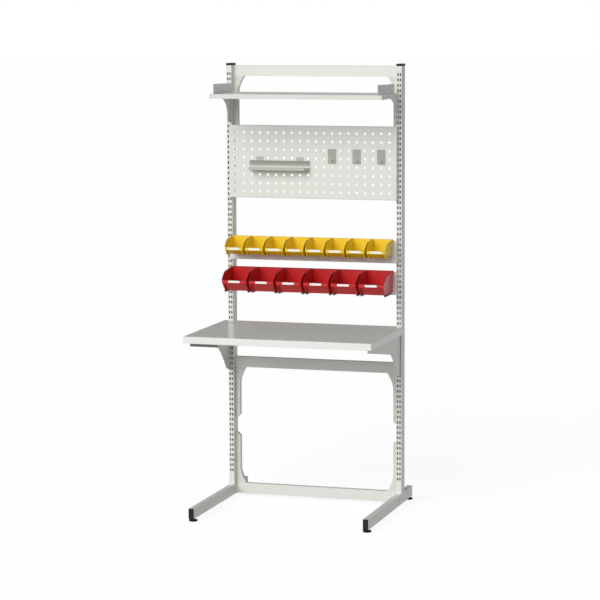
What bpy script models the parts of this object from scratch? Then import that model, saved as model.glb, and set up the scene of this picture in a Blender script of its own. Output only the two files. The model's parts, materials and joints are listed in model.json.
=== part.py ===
"""Workbench: slotted uprights on foot beams, with worktop, bins, panel and shelf.

Metres, +Z up, viewer at -Y. The origin lies on the floor, under the middle of
the bench's bounding box. Pieces are placed from the front plane of the
uprights, y = 0 of the empty that carries them all.
"""

import math
from collections import namedtuple

import bmesh
import bpy
from mathutils import Matrix, Vector

# Clearances and cuts
SEAT_GAP = 0.0003
CUT_OVERRUN = 0.004
WELD_DISTANCE = 0.00003

# Uprights
FRAME_WIDTH = 0.866
UPRIGHT_FACE = 0.025
UPRIGHT_DEPTH = 0.060
UPRIGHT_TOP = 2.100
TUBE_WALL = 0.002

# Slots in the front of the uprights, counted in rows from the top
SLOT_WIDTH = 0.0065
SLOT_HEIGHT = 0.0125
SLOT_PITCH = 0.025
SLOT_COLUMN_SPACING = 0.0115
FIRST_SLOT_DROP = 0.040
LAST_SLOT_HEIGHT = 0.065

# Hooks that hold pieces in the slots
HOOK_DROP = 0.005
HOOK_PLAY = 0.0015
HOOK_LIP = 0.003
HOOK_ROOT = 0.008
HOOK_THICKNESS = 0.0012

# Caps in the tube ends
UPRIGHT_CAP_HEIGHT = 0.010
BEAM_CAP_HEIGHT = 0.0045
CAP_PLUG_LENGTH = 0.009
CAP_BEVEL = 0.0015

# Foot beams
BEAM_HEIGHT = 0.050
BEAM_FRONT_REACH = 0.592
BEAM_REAR_REACH = 0.205
BEAM_SLOT_REACH = 0.035
BEAM_SLOT_WIDTH = 0.006
BEAM_SLOT_LENGTH = 0.019
BEAM_SLOT_RISE = 0.022

# Levelling feet
PAD_DIAMETER = 0.040
PAD_THICKNESS = 0.008
COLLAR_WIDTH = 0.017
COLLAR_HEIGHT = 0.0057
STUD_DIAMETER = 0.010
STUD_RISE = 0.030
STUD_CLEARANCE = 0.0004
FRONT_FOOT_INSET = 0.027
REAR_FOOT_INSET = 0.018
FOOT_SIDES = 24
STUD_SIDES = 16
COLLAR_SIDES = 6

# Cross rails
RAIL_SETBACK = 0.029
RAIL_DEPTH = 0.025
RAIL_SHEET = 0.002
RAIL_BAND = 0.051
WING_WIDTH = 0.022
WING_LENGTH = 0.300
WING_CHAMFER = 0.015
GUSSET_WIDTH = 0.030
GUSSET_LEAD = 0.046
GUSSET_LENGTH = 0.080
GUSSET_STEPS = 6
WORKTOP_RAIL_TOP = 0.6915
BOTTOM_RAIL_BOTTOM = 0.0165

# Top shelf and its brackets
SHELF_ROW = 4
SHELF_BRACKET_RISE = 0.0127
SHELF_BRACKET_SHEET = 0.002
SHELF_BRACKET_TAIL = 0.030
SHELF_ARM_SETBACK = 0.019
SHELF_ARM_HEIGHT = 0.018
SHELF_LEG_WIDTH = 0.041
SHELF_CURVE_REACH = 0.150
SHELF_CURVE_TAIL = 0.010
SHELF_CURVE_LEAD = 0.035
SHELF_HOOK_ROWS = (4, 8)
SHELF_SHEET = 0.0015
SHELF_DEPTH = 0.299
SHELF_LIP = 0.021
GUARD_SIDE_INSET = 0.0205
GUARD_HEIGHT = 0.0475
GUARD_REAR_HEIGHT = 0.0415
GUARD_END_INSET = 0.003

# Perforated panel
PANEL_ROW = 10
PANEL_RISE = 0.007
PANEL_HEIGHT = 0.346
PANEL_SHEET = 0.0015
PANEL_HOOK_ROWS = (10, 22)
HANG_STANDOFF = 0.024
HOLE_DIAMETER = 0.0125
HOLE_PITCH = 0.040
HOLE_TOP_MARGIN = 0.0346
HOLE_LEAST_MARGIN = 0.020
HOLE_SIDES = 8

# Tool tray and tool hooks on the panel, their columns counted from its middle
PEG_DIAMETER = 0.0065
PEG_REACH = 0.006
HOLDER_SHEET = 0.0015
TRAY_COLUMNS = (-7, -2)
TRAY_ROWS = (3, 4)
TRAY_WIDTH = 0.300
TRAY_FRONT_WIDTH = 0.274
TRAY_DEPTH = 0.050
TRAY_BACK_HEIGHT = 0.044
TRAY_FRONT_HEIGHT = 0.012
TRAY_FLOOR_DROP = 0.0564
STRAP_WIDTH = 0.036
STRAP_LENGTH = 0.069
STRAP_TOP_RISE = 0.006
TOOL_HOOK_COLUMNS = (2, 5, 8)
TOOL_HOOK_ROWS = (2, 3)
TOOL_HOOK_WIDTH = 0.040
TOOL_HOOK_LENGTH = 0.069
PRONG_DIAMETER = 0.005
PRONG_RISE = 0.015
PRONG_REACH = 0.030
PRONG_TIP_RISE = 0.010
PRONG_BEND = 0.004

# Rails that carry the bins
YELLOW_ROW = 31
RED_ROW = 37
BIN_RAIL_RISE = -0.0025
BIN_RAIL_HEIGHT = 0.109
BIN_RAIL_SHEET = 0.0015
BIN_RAIL_HOOK_ROWS = (1, 3)

# Bins
BIN_WALL = 0.002
BIN_GAP = 0.0025
BIN_HOOK_DROP = 0.012
BIN_RECESS_MARGIN = 0.005
BIN_RECESS_SLOPE = 0.001
BIN_RECESS_DEPTH = 0.006
BIN_CURVE_STEPS = 4
YELLOW_WIDTH = 0.0974
YELLOW_DEPTH = 0.1345
YELLOW_HEIGHT = 0.0745
YELLOW_RIM = 0.0045
YELLOW_SHOULDER_REACH = 0.100
YELLOW_SHOULDER_DROP = 0.006
YELLOW_SHOULDER_CURVE = 0.016
YELLOW_LIP_DROP = 0.0383
YELLOW_LIP_HEIGHT = 0.014
YELLOW_FLOOR_REACH = 0.113
YELLOW_TAPER = 0.005
YELLOW_DRAFT = 0.0008
RED_WIDTH = 0.132
RED_DEPTH = 0.173
RED_HEIGHT = 0.0985
RED_RIM = 0.006
RED_SHOULDER_REACH = 0.130
RED_SHOULDER_DROP = 0.0075
RED_SHOULDER_CURVE = 0.020
RED_LIP_DROP = 0.0418
RED_LIP_HEIGHT = 0.0145
RED_FLOOR_REACH = 0.133
RED_TAPER = 0.0056
RED_DRAFT = 0.0021
RIB_WIDTH = 0.005
RIB_DROP = 0.005
RIB_LENGTH = 0.090

# Labels
LABEL_THICKNESS = 0.0006
LABEL_WIDTH = 0.0575
LABEL_HEIGHT = 0.0105

# Worktop and its brackets
WORKTOP_OVERHANG = 0.017
WORKTOP_DEPTH = 0.600
WORKTOP_THICKNESS = 0.032
WORKTOP_BEVEL = 0.0015
WORKTOP_ROW = 50
WORKTOP_HOOK_ROWS = (50, 56)
BRACKET_RISE = 0.0297
BRACKET_SHEET = 0.002
BRACKET_SETBACK = 0.032
BRACKET_NOSE = 0.017
BRACKET_KNEE_REACH = 0.190
BRACKET_KNEE_DROP = 0.076
BRACKET_KNEE_LEAD = 0.045
BRACKET_HEEL_REACH = 0.052
BRACKET_HEEL_RISE = 0.008
BRACKET_TOE_REACH = 0.018
BRACKET_TAIL = 0.0253
BRACKET_FLANGE = 0.020
CURVE_STEPS = 6

# Places worked out from the sizes
UPRIGHT_X = (FRAME_WIDTH - UPRIGHT_FACE) / 2
INNER_COLUMN_X = UPRIGHT_X - SLOT_COLUMN_SPACING / 2
OUTER_COLUMN_X = UPRIGHT_X + SLOT_COLUMN_SPACING / 2
BEAM_BOTTOM = PAD_THICKNESS + COLLAR_HEIGHT + SEAT_GAP
BEAM_TOP = BEAM_BOTTOM + BEAM_HEIGHT
UPRIGHT_BOTTOM = BEAM_TOP + SEAT_GAP
RAIL_END_X = FRAME_WIDTH / 2 - UPRIGHT_FACE - SEAT_GAP
FRONT_MOST = max(WORKTOP_DEPTH + SEAT_GAP, BEAM_FRONT_REACH + SEAT_GAP + BEAM_CAP_HEIGHT)
REAR_MOST = BEAM_REAR_REACH + SEAT_GAP + BEAM_CAP_HEIGHT
HANG_Y = -HANG_STANDOFF
HOLDER_Y = HANG_Y - SEAT_GAP

OFF_WHITE = ("frame_paint", (0.80, 0.79, 0.74), 0.45, 0.0)
LIGHT_GREY = ("panel_paint", (0.66, 0.66, 0.63), 0.45, 0.0)
HOLDER_GREY = ("holder_steel", (0.42, 0.42, 0.42), 0.35, 0.9)
BLACK_PLASTIC = ("black_plastic", (0.02, 0.02, 0.02), 0.5, 0.0)
YELLOW_PLASTIC = ("yellow_plastic", (0.86, 0.55, 0.04), 0.35, 0.0)
RED_PLASTIC = ("red_plastic", (0.62, 0.02, 0.02), 0.35, 0.0)
LABEL_CARD = ("label_card", (0.92, 0.92, 0.88), 0.6, 0.0)
WORKTOP_GREY = ("worktop_laminate", (0.42, 0.42, 0.41), 0.2, 0.0)

SIDES = {"left": -1, "right": 1}

BinSize = namedtuple(
    "BinSize",
    "width depth height rim shoulder_reach shoulder_drop shoulder_curve "
    "lip_drop lip_height floor_reach taper draft",
)
YELLOW_SIZE = BinSize(
    YELLOW_WIDTH,
    YELLOW_DEPTH,
    YELLOW_HEIGHT,
    YELLOW_RIM,
    YELLOW_SHOULDER_REACH,
    YELLOW_SHOULDER_DROP,
    YELLOW_SHOULDER_CURVE,
    YELLOW_LIP_DROP,
    YELLOW_LIP_HEIGHT,
    YELLOW_FLOOR_REACH,
    YELLOW_TAPER,
    YELLOW_DRAFT,
)
RED_SIZE = BinSize(
    RED_WIDTH,
    RED_DEPTH,
    RED_HEIGHT,
    RED_RIM,
    RED_SHOULDER_REACH,
    RED_SHOULDER_DROP,
    RED_SHOULDER_CURVE,
    RED_LIP_DROP,
    RED_LIP_HEIGHT,
    RED_FLOOR_REACH,
    RED_TAPER,
    RED_DRAFT,
)


def slot_z(row):
    return UPRIGHT_TOP - FIRST_SLOT_DROP - row * SLOT_PITCH


def hang_x(sheet):
    """Half the width of a piece whose end flanges of this sheet hang in the inner slot columns."""
    return INNER_COLUMN_X + sheet / 2


def hole_x(column):
    """The x of a column of panel holes, counted from the middle one."""
    return (column + hole_columns() // 2 - (hole_columns() - 1) / 2) * HOLE_PITCH


def hole_z(row):
    return slot_z(PANEL_ROW) + PANEL_RISE - HOLE_TOP_MARGIN - row * HOLE_PITCH


def hole_columns():
    return int((hang_x(PANEL_SHEET) - HOLE_LEAST_MARGIN) * 2 / HOLE_PITCH) + 1


def hole_rows():
    return int((PANEL_HEIGHT - HOLE_TOP_MARGIN - HOLE_LEAST_MARGIN) / HOLE_PITCH) + 1


def slot_rows():
    lowest = UPRIGHT_BOTTOM + LAST_SLOT_HEIGHT
    return int((slot_z(0) - lowest) / SLOT_PITCH) + 1


def clear_scene():
    for old in list(bpy.data.objects):
        bpy.data.objects.remove(old)


def new_collection(name):
    collection = bpy.data.collections.new(name)
    bpy.context.scene.collection.children.link(collection)
    return collection


def principled(description):
    name, color, roughness, metallic = description
    found = bpy.data.materials.get(name)
    if found:
        return found
    material = bpy.data.materials.new(name)
    material.use_nodes = True
    shader = material.node_tree.nodes["Principled BSDF"]
    shader.inputs["Base Color"].default_value = (*color, 1)
    shader.inputs["Roughness"].default_value = roughness
    shader.inputs["Metallic"].default_value = metallic
    material.diffuse_color = (*color, 1)
    return material


def mesh_from(work):
    """A finished mesh from a bmesh, its faces pointing out."""
    bmesh.ops.recalc_face_normals(work, faces=work.faces)
    mesh = bpy.data.meshes.new("shape")
    work.to_mesh(mesh)
    work.free()
    return mesh


def evaluated(source):
    """The mesh of an object with its modifiers applied. The object is removed."""
    bpy.context.view_layer.update()
    graph = bpy.context.evaluated_depsgraph_get()
    mesh = bpy.data.meshes.new_from_object(source.evaluated_get(graph))
    bpy.data.objects.remove(source)
    return mesh


def loose_object(data):
    made = bpy.data.objects.new("shape", data)
    bpy.context.scene.collection.objects.link(made)
    return made


def box(low, high):
    work = bmesh.new()
    size = Vector(high) - Vector(low)
    middle = (Vector(high) + Vector(low)) / 2
    stretch = Matrix.Diagonal(size).to_4x4()
    bmesh.ops.create_cube(work, size=1, matrix=Matrix.Translation(middle) @ stretch)
    return mesh_from(work)


def cylinder(diameter, base, tip, sides):
    """A round bar from the point base to the point tip, with a flat side downwards or forwards."""
    along = Vector(tip) - Vector(base)
    middle = (Vector(tip) + Vector(base)) / 2
    turn = along.to_track_quat("Z", "Y").to_matrix().to_4x4()
    flat_down = Matrix.Rotation(math.pi / sides + math.pi / 2, 4, "Z")
    work = bmesh.new()
    bmesh.ops.create_cone(
        work,
        cap_ends=True,
        segments=sides,
        radius1=diameter / 2,
        radius2=diameter / 2,
        depth=along.length,
        matrix=Matrix.Translation(middle) @ turn @ flat_down,
    )
    return mesh_from(work)


def combine(base, others, operation):
    """A Boolean of the mesh base with each of the other meshes in turn."""
    body = loose_object(base)
    tools = [loose_object(other) for other in others]
    for tool in tools:
        modifier = body.modifiers.new("combine", "BOOLEAN")
        modifier.operation = operation
        modifier.solver = "EXACT"
        modifier.object = tool
    mesh = evaluated(body)
    for tool in tools:
        bpy.data.objects.remove(tool)
    return mesh


def joined(meshes):
    """One mesh of separate bodies, for use as a cutter."""
    work = bmesh.new()
    for mesh in meshes:
        work.from_mesh(mesh)
    return mesh_from(work)


def filled_outline(loops, thickness):
    """A flat plate in XY, centred on z = 0. The first loop is its edge and the others are holes."""
    curve = bpy.data.curves.new("outline", "CURVE")
    curve.dimensions = "2D"
    curve.fill_mode = "BOTH"
    curve.extrude = thickness / 2
    for loop in loops:
        spline = curve.splines.new("POLY")
        spline.points.add(len(loop) - 1)
        for point, (across, up) in zip(spline.points, loop):
            point.co = (across, up, 0, 1)
        spline.use_cyclic_u = True
    mesh = evaluated(loose_object(curve))
    work = bmesh.new()
    work.from_mesh(mesh)
    bmesh.ops.remove_doubles(work, verts=work.verts, dist=WELD_DISTANCE)
    return mesh_from(work)


def side_plate(points, thickness, x):
    """A plate square to X, from its outline in (y, z)."""
    mesh = filled_outline([points], thickness)
    upright = Matrix(((0, 0, 1), (1, 0, 0), (0, 1, 0))).to_4x4()
    mesh.transform(Matrix.Translation((x, 0, 0)) @ upright)
    return mesh


def front_plate(points, thickness, y):
    """A plate square to Y, from its outline in (x, z)."""
    mesh = filled_outline([points], thickness)
    mesh.transform(Matrix.Translation((0, y, 0)) @ Matrix.Rotation(math.pi / 2, 4, "X"))
    return mesh


def tube(width, depth, length):
    """A square tube along Z, open at both ends, from z = 0 up."""
    outer = rectangle(-width / 2, width / 2, -depth / 2, depth / 2)
    inner_width = width - 2 * TUBE_WALL
    inner_depth = depth - 2 * TUBE_WALL
    inner = rectangle(-inner_width / 2, inner_width / 2, -inner_depth / 2, inner_depth / 2)
    mesh = filled_outline([outer, inner], length)
    mesh.transform(Matrix.Translation((0, 0, length / 2)))
    return mesh


def rectangle(left, right, low, high):
    return [(left, low), (right, low), (right, high), (left, high)]


def with_edges_rounded(mesh, width, segments, chosen=lambda edge: True):
    work = bmesh.new()
    work.from_mesh(mesh)
    edges = [edge for edge in work.edges if chosen(edge)]
    bmesh.ops.bevel(
        work,
        geom=edges,
        offset=width,
        offset_type="OFFSET",
        segments=segments,
        profile=0.5,
        affect="EDGES",
        material=-1,
    )
    return mesh_from(work)


def extruded(work, edges, step):
    """Draws new faces out of these edges along step."""
    grown = bmesh.ops.extrude_edge_only(work, edges=edges)["geom"]
    verts = [part for part in grown if isinstance(part, bmesh.types.BMVert)]
    bmesh.ops.translate(work, verts=verts, vec=step)
    return verts


def folded_sheet(outline, fold, outward, thickness, is_folded, mirrored=False):
    """A sheet cut to an outline. The edges whose middle is_folded picks are bent along fold."""
    work = bmesh.new()
    face = work.faces.new([work.verts.new(point) for point in outline])
    folded = [edge for edge in face.edges if is_folded((edge.verts[0].co + edge.verts[1].co) / 2)]
    extruded(work, folded, fold)
    return solidified(work, face, outward, thickness, mirrored)


def solidified(work, face, outward, thickness, mirrored=False):
    """An open surface thickened on its inner side. The face given points along outward."""
    bmesh.ops.recalc_face_normals(work, faces=work.faces)
    face.normal_update()
    if face.normal.dot(Vector(outward)) < 0:
        bmesh.ops.reverse_faces(work, faces=work.faces)
    surface = bpy.data.meshes.new("surface")
    work.to_mesh(surface)
    work.free()
    sheet = loose_object(surface)
    if mirrored:
        mirror = sheet.modifiers.new("mirror", "MIRROR")
        mirror.merge_threshold = WELD_DISTANCE
    solid = sheet.modifiers.new("sheet", "SOLIDIFY")
    solid.thickness = thickness
    solid.offset = -1
    solid.use_even_offset = True
    solid.use_quality_normals = True
    return evaluated(sheet)


def curve_points(start, lead, end, steps):
    """Points of a quadratic curve from start to end that leaves start towards lead."""
    points = []
    for step in range(steps + 1):
        share = step / steps
        first = Vector(start).lerp(Vector(lead), share)
        second = Vector(lead).lerp(Vector(end), share)
        points.append(tuple(first.lerp(second, share)))
    return points


def slot_hook(row, root_y):
    """Outline in (y, z) of a hook that hangs in the slot of this row, in rising order."""
    rest_z = slot_z(row) - SLOT_HEIGHT / 2 + SEAT_GAP
    neck_top = rest_z + SLOT_HEIGHT - HOOK_DROP - HOOK_PLAY
    lip_y = TUBE_WALL + SEAT_GAP
    return [
        (root_y, rest_z),
        (lip_y, rest_z),
        (lip_y, rest_z - HOOK_DROP),
        (lip_y + HOOK_LIP, rest_z - HOOK_DROP),
        (lip_y + HOOK_LIP, neck_top),
        (root_y, neck_top),
    ]


def hung_hooks(rows):
    """Hook plates for both ends of a piece that hangs in the inner slot columns."""
    return [
        side_plate(slot_hook(row, -HOOK_ROOT), HOOK_THICKNESS, side * INNER_COLUMN_X)
        for row in rows
        for side in SIDES.values()
    ]


def upright_mesh():
    body = tube(UPRIGHT_FACE, UPRIGHT_DEPTH, UPRIGHT_TOP - UPRIGHT_BOTTOM)
    front = -UPRIGHT_DEPTH / 2
    slots = []
    for row in range(slot_rows()):
        middle_z = slot_z(row) - UPRIGHT_BOTTOM
        for side in SIDES.values():
            middle_x = side * SLOT_COLUMN_SPACING / 2
            low = (middle_x - SLOT_WIDTH / 2, front - CUT_OVERRUN, middle_z - SLOT_HEIGHT / 2)
            back = front + TUBE_WALL + CUT_OVERRUN
            slots.append(box(low, (middle_x + SLOT_WIDTH / 2, back, middle_z + SLOT_HEIGHT / 2)))
    return combine(body, [joined(slots)], "DIFFERENCE")


def cap_mesh(width, depth, height):
    """A cap for a tube whose end lies at z = 0: its head above and its plug below."""
    middle_z = SEAT_GAP + height / 2
    head = box((-width / 2, -depth / 2, SEAT_GAP), (width / 2, depth / 2, SEAT_GAP + height))

    def above_the_middle(edge):
        return min(vert.co.z for vert in edge.verts) > middle_z

    head = with_edges_rounded(head, CAP_BEVEL, 2, above_the_middle)
    plug_x = width / 2 - TUBE_WALL - SEAT_GAP
    plug_y = depth / 2 - TUBE_WALL - SEAT_GAP
    plug = box((-plug_x, -plug_y, -CAP_PLUG_LENGTH), (plug_x, plug_y, middle_z))
    return combine(head, [plug], "UNION")


def foot_y():
    return {"front": FRONT_FOOT_INSET - BEAM_FRONT_REACH, "rear": BEAM_REAR_REACH - REAR_FOOT_INSET}


def beam_mesh(side):
    """A foot beam in its place along Y and Z, on the middle of its own width."""
    body = tube(UPRIGHT_FACE, BEAM_HEIGHT, BEAM_FRONT_REACH + BEAM_REAR_REACH)
    rear_end = Matrix.Translation((0, BEAM_REAR_REACH, BEAM_BOTTOM + BEAM_HEIGHT / 2))
    body.transform(rear_end @ Matrix.Rotation(math.pi / 2, 4, "X"))
    hole = STUD_DIAMETER + 2 * STUD_CLEARANCE
    below = BEAM_BOTTOM - CUT_OVERRUN
    above = BEAM_BOTTOM + TUBE_WALL + CUT_OVERRUN
    cutters = [cylinder(hole, (0, y, below), (0, y, above), STUD_SIDES) for y in foot_y().values()]
    outer_x = side * UPRIGHT_FACE / 2
    slot_low = BEAM_BOTTOM + BEAM_SLOT_RISE - BEAM_SLOT_LENGTH / 2
    slot_y = -BEAM_SLOT_REACH
    reach = TUBE_WALL + CUT_OVERRUN
    cutters.append(
        box(
            (outer_x - reach, slot_y - BEAM_SLOT_WIDTH / 2, slot_low),
            (outer_x + reach, slot_y + BEAM_SLOT_WIDTH / 2, slot_low + BEAM_SLOT_LENGTH),
        )
    )
    return combine(body, [joined(cutters)], "DIFFERENCE")


def foot_mesh():
    collar_top = PAD_THICKNESS + COLLAR_HEIGHT
    pad = cylinder(PAD_DIAMETER, (0, 0, 0), (0, 0, PAD_THICKNESS), FOOT_SIDES)
    collar = cylinder(COLLAR_WIDTH, (0, 0, PAD_THICKNESS / 2), (0, 0, collar_top), COLLAR_SIDES)
    stud = cylinder(STUD_DIAMETER, (0, 0, PAD_THICKNESS / 2), (0, 0, collar_top + STUD_RISE), STUD_SIDES)
    return combine(pad, [collar, stud], "UNION")


def rail_mesh(outer_z, inward):
    """A cross rail whose band starts at outer_z and whose wings reach along inward, up or down."""
    wing_x = RAIL_END_X - WING_WIDTH
    gusset = curve_points(
        (wing_x - GUSSET_WIDTH, RAIL_BAND),
        (wing_x, RAIL_BAND + GUSSET_LEAD),
        (wing_x, RAIL_BAND + GUSSET_LENGTH),
        GUSSET_STEPS,
    )
    half = [
        (0, 0),
        (0, RAIL_BAND),
        *gusset,
        (wing_x, WING_LENGTH - WING_CHAMFER),
        (wing_x + WING_CHAMFER, WING_LENGTH),
        (RAIL_END_X, WING_LENGTH),
        (RAIL_END_X, 0),
    ]
    outline = [(x, RAIL_SETBACK, outer_z + inward * along) for x, along in half]
    fold = (0, RAIL_DEPTH, 0)
    front = (0, -1, 0)
    return folded_sheet(outline, fold, front, RAIL_SHEET, lambda middle: middle.x > 0, mirrored=True)


def shelf_bracket_mesh(side):
    top = slot_z(SHELF_ROW) + SHELF_BRACKET_RISE
    arm_low = top - SHELF_ARM_HEIGHT
    rear = -SEAT_GAP
    reach = SHELF_DEPTH - SHELF_ARM_SETBACK
    lowest_slot = slot_z(max(SHELF_HOOK_ROWS))
    curve = curve_points(
        (-SHELF_CURVE_REACH, arm_low),
        (-SHELF_LEG_WIDTH, top - SHELF_CURVE_LEAD),
        (-SHELF_LEG_WIDTH, lowest_slot - SHELF_CURVE_TAIL),
        CURVE_STEPS,
    )
    outline = [
        (-reach, top),
        (-reach, arm_low),
        *curve,
        (-SHELF_LEG_WIDTH, lowest_slot - SHELF_BRACKET_TAIL),
        (rear, lowest_slot - SHELF_BRACKET_TAIL),
    ]
    for row in reversed(SHELF_HOOK_ROWS):
        outline += slot_hook(row, rear)
    outline.append((rear, top))
    return side_plate(outline, SHELF_BRACKET_SHEET, side * INNER_COLUMN_X)


def shelf_top_z():
    return slot_z(SHELF_ROW) + SHELF_BRACKET_RISE + SEAT_GAP + SHELF_SHEET


def shelf_mesh():
    half_width = INNER_COLUMN_X + SHELF_BRACKET_SHEET / 2 + SEAT_GAP + SHELF_SHEET
    rear = -SEAT_GAP
    front = rear - SHELF_DEPTH
    top = shelf_top_z()
    outline = [(x, y, top) for x, y in rectangle(-half_width, half_width, front, rear)]
    fold = (0, 0, -SHELF_LIP)
    pan = folded_sheet(outline, fold, (0, 0, 1), SHELF_SHEET, lambda middle: middle.y < rear - SEAT_GAP)
    guard = [
        (front + GUARD_END_INSET, top - SHELF_SHEET / 2),
        (rear - GUARD_END_INSET, top - SHELF_SHEET / 2),
        (rear - GUARD_END_INSET, top + GUARD_REAR_HEIGHT),
        (front + GUARD_END_INSET, top + GUARD_HEIGHT),
    ]
    guard_x = half_width - GUARD_SIDE_INSET
    guards = [side_plate(guard, SHELF_SHEET, side * guard_x) for side in SIDES.values()]
    return combine(pan, guards, "UNION")


def panel_mesh():
    top = slot_z(PANEL_ROW) + PANEL_RISE
    half_width = hang_x(PANEL_SHEET)
    outline = [(x, HANG_Y, z) for x, z in rectangle(-half_width, half_width, top - PANEL_HEIGHT, top)]
    fold = (0, HANG_STANDOFF - SEAT_GAP, 0)
    pan = folded_sheet(outline, fold, (0, -1, 0), PANEL_SHEET, lambda middle: True)
    holes = [
        cylinder(
            HOLE_DIAMETER,
            (hole_x(column), HANG_Y - CUT_OVERRUN, hole_z(row)),
            (hole_x(column), HANG_Y + PANEL_SHEET + CUT_OVERRUN, hole_z(row)),
            HOLE_SIDES,
        )
        for column in range(-(hole_columns() // 2), hole_columns() - hole_columns() // 2)
        for row in range(hole_rows())
    ]
    pan = combine(pan, [joined(holes)], "DIFFERENCE")
    return combine(pan, hung_hooks(PANEL_HOOK_ROWS), "UNION")


def peg(column, row):
    """A peg resting on the lower edge of a panel hole."""
    flat_share = math.cos(math.pi / HOLE_SIDES)
    drop = (HOLE_DIAMETER - PEG_DIAMETER) / 2 * flat_share - SEAT_GAP
    z = hole_z(row) - drop
    root = (hole_x(column), HOLDER_Y - HOLDER_SHEET / 2, z)
    tip = (hole_x(column), HANG_Y + PANEL_SHEET + PEG_REACH, z)
    return cylinder(PEG_DIAMETER, root, tip, HOLE_SIDES)


def tray_mesh():
    """The tool tray in its place, with the straps and pegs that carry it."""
    middle_x = (hole_x(TRAY_COLUMNS[0]) + hole_x(TRAY_COLUMNS[1])) / 2
    back_y = HOLDER_Y - HOLDER_SHEET / 2
    front_y = back_y - TRAY_DEPTH
    floor_z = hole_z(TRAY_ROWS[0]) - TRAY_FLOOR_DROP
    plan = [
        (middle_x - TRAY_FRONT_WIDTH / 2, front_y),
        (middle_x + TRAY_FRONT_WIDTH / 2, front_y),
        (middle_x + TRAY_WIDTH / 2, back_y),
        (middle_x - TRAY_WIDTH / 2, back_y),
    ]
    work = bmesh.new()
    floor = work.faces.new([work.verts.new((x, y, floor_z)) for x, y in plan])
    for vert in extruded(work, floor.edges[:], (0, 0, TRAY_FRONT_HEIGHT)):
        if vert.co.y > back_y - TRAY_DEPTH / 2:
            vert.co.z += TRAY_BACK_HEIGHT - TRAY_FRONT_HEIGHT
    tray = solidified(work, floor, (0, 0, -1), HOLDER_SHEET)
    additions = []
    for column in TRAY_COLUMNS:
        x = hole_x(column)
        top = hole_z(TRAY_ROWS[0]) + STRAP_TOP_RISE
        strap = rectangle(x - STRAP_WIDTH / 2, x + STRAP_WIDTH / 2, top - STRAP_LENGTH, top)
        additions.append(front_plate(strap, HOLDER_SHEET, HOLDER_Y - HOLDER_SHEET / 2))
        additions += [peg(column, row) for row in TRAY_ROWS]
    return combine(tray, additions, "UNION")


def prong(column, low):
    """A round bar that stands out of the hook's plate and turns up at its tip."""
    x = hole_x(column)
    z = low + PRONG_RISE
    tip_y = HOLDER_Y - HOLDER_SHEET - PRONG_REACH
    route = [
        (x, HOLDER_Y - HOLDER_SHEET / 2, z),
        (x, tip_y + PRONG_BEND, z),
        (x, tip_y, z + PRONG_BEND),
        (x, tip_y, z + PRONG_TIP_RISE),
    ]
    curve = bpy.data.curves.new("prong", "CURVE")
    curve.dimensions = "3D"
    curve.bevel_depth = PRONG_DIAMETER / 2
    curve.bevel_resolution = 2
    curve.use_fill_caps = True
    spline = curve.splines.new("POLY")
    spline.points.add(len(route) - 1)
    for point, place in zip(spline.points, route):
        point.co = (*place, 1)
    work = bmesh.new()
    work.from_mesh(evaluated(loose_object(curve)))
    bmesh.ops.remove_doubles(work, verts=work.verts, dist=WELD_DISTANCE)
    return mesh_from(work)


def tool_hook_mesh(column):
    x = hole_x(column)
    top = hole_z(TOOL_HOOK_ROWS[0]) + STRAP_TOP_RISE
    low = top - TOOL_HOOK_LENGTH
    outline = rectangle(x - TOOL_HOOK_WIDTH / 2, x + TOOL_HOOK_WIDTH / 2, low, top)
    plate = front_plate(outline, HOLDER_SHEET, HOLDER_Y - HOLDER_SHEET / 2)
    additions = [peg(column, row) for row in TOOL_HOOK_ROWS]
    return combine(plate, [*additions, prong(column, low)], "UNION")


def bin_rail_top(row):
    return slot_z(row) + BIN_RAIL_RISE


def bin_rail_mesh(row):
    top = bin_rail_top(row)
    half_width = hang_x(BIN_RAIL_SHEET)
    outline = [(x, HANG_Y, z) for x, z in rectangle(-half_width, half_width, top - BIN_RAIL_HEIGHT, top)]
    fold = (0, HANG_STANDOFF - SEAT_GAP, 0)
    rail = folded_sheet(outline, fold, (0, -1, 0), BIN_RAIL_SHEET, lambda middle: middle.z < top - SEAT_GAP)
    return combine(rail, hung_hooks([row + below for below in BIN_RAIL_HOOK_ROWS]), "UNION")


def bin_places(width, row):
    """Where the bins of this width hang, side by side between the rail's ends."""
    pitch = width + BIN_GAP
    count = int((hang_x(BIN_RAIL_SHEET) - BIN_RAIL_SHEET) * 2 / pitch)
    return [((index - (count - 1) / 2) * pitch, HANG_Y, bin_rail_top(row)) for index in range(count)]


def point_towards(start, end, distance):
    """The point that lies this distance from start on the way to end."""
    step = Vector(end) - Vector(start)
    return tuple(Vector(start) + step.normalized() * distance)


def bin_side(size):
    """Outline in (y, z) of a bin's side wall. The rail's top edge lies at the origin."""
    back_y = -SEAT_GAP
    rim_corner = (back_y, size.rim)
    lip_top = (back_y - size.depth, -size.lip_drop)
    shoulder = (back_y - size.shoulder_reach, -size.shoulder_drop)
    return [
        rim_corner,
        (back_y, -size.height),
        (back_y - size.floor_reach, -size.height),
        (back_y - size.depth, -size.lip_drop - size.lip_height),
        lip_top,
        *curve_points(
            point_towards(shoulder, lip_top, size.shoulder_curve),
            shoulder,
            point_towards(shoulder, rim_corner, size.shoulder_curve),
            BIN_CURVE_STEPS,
        ),
    ]


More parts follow.
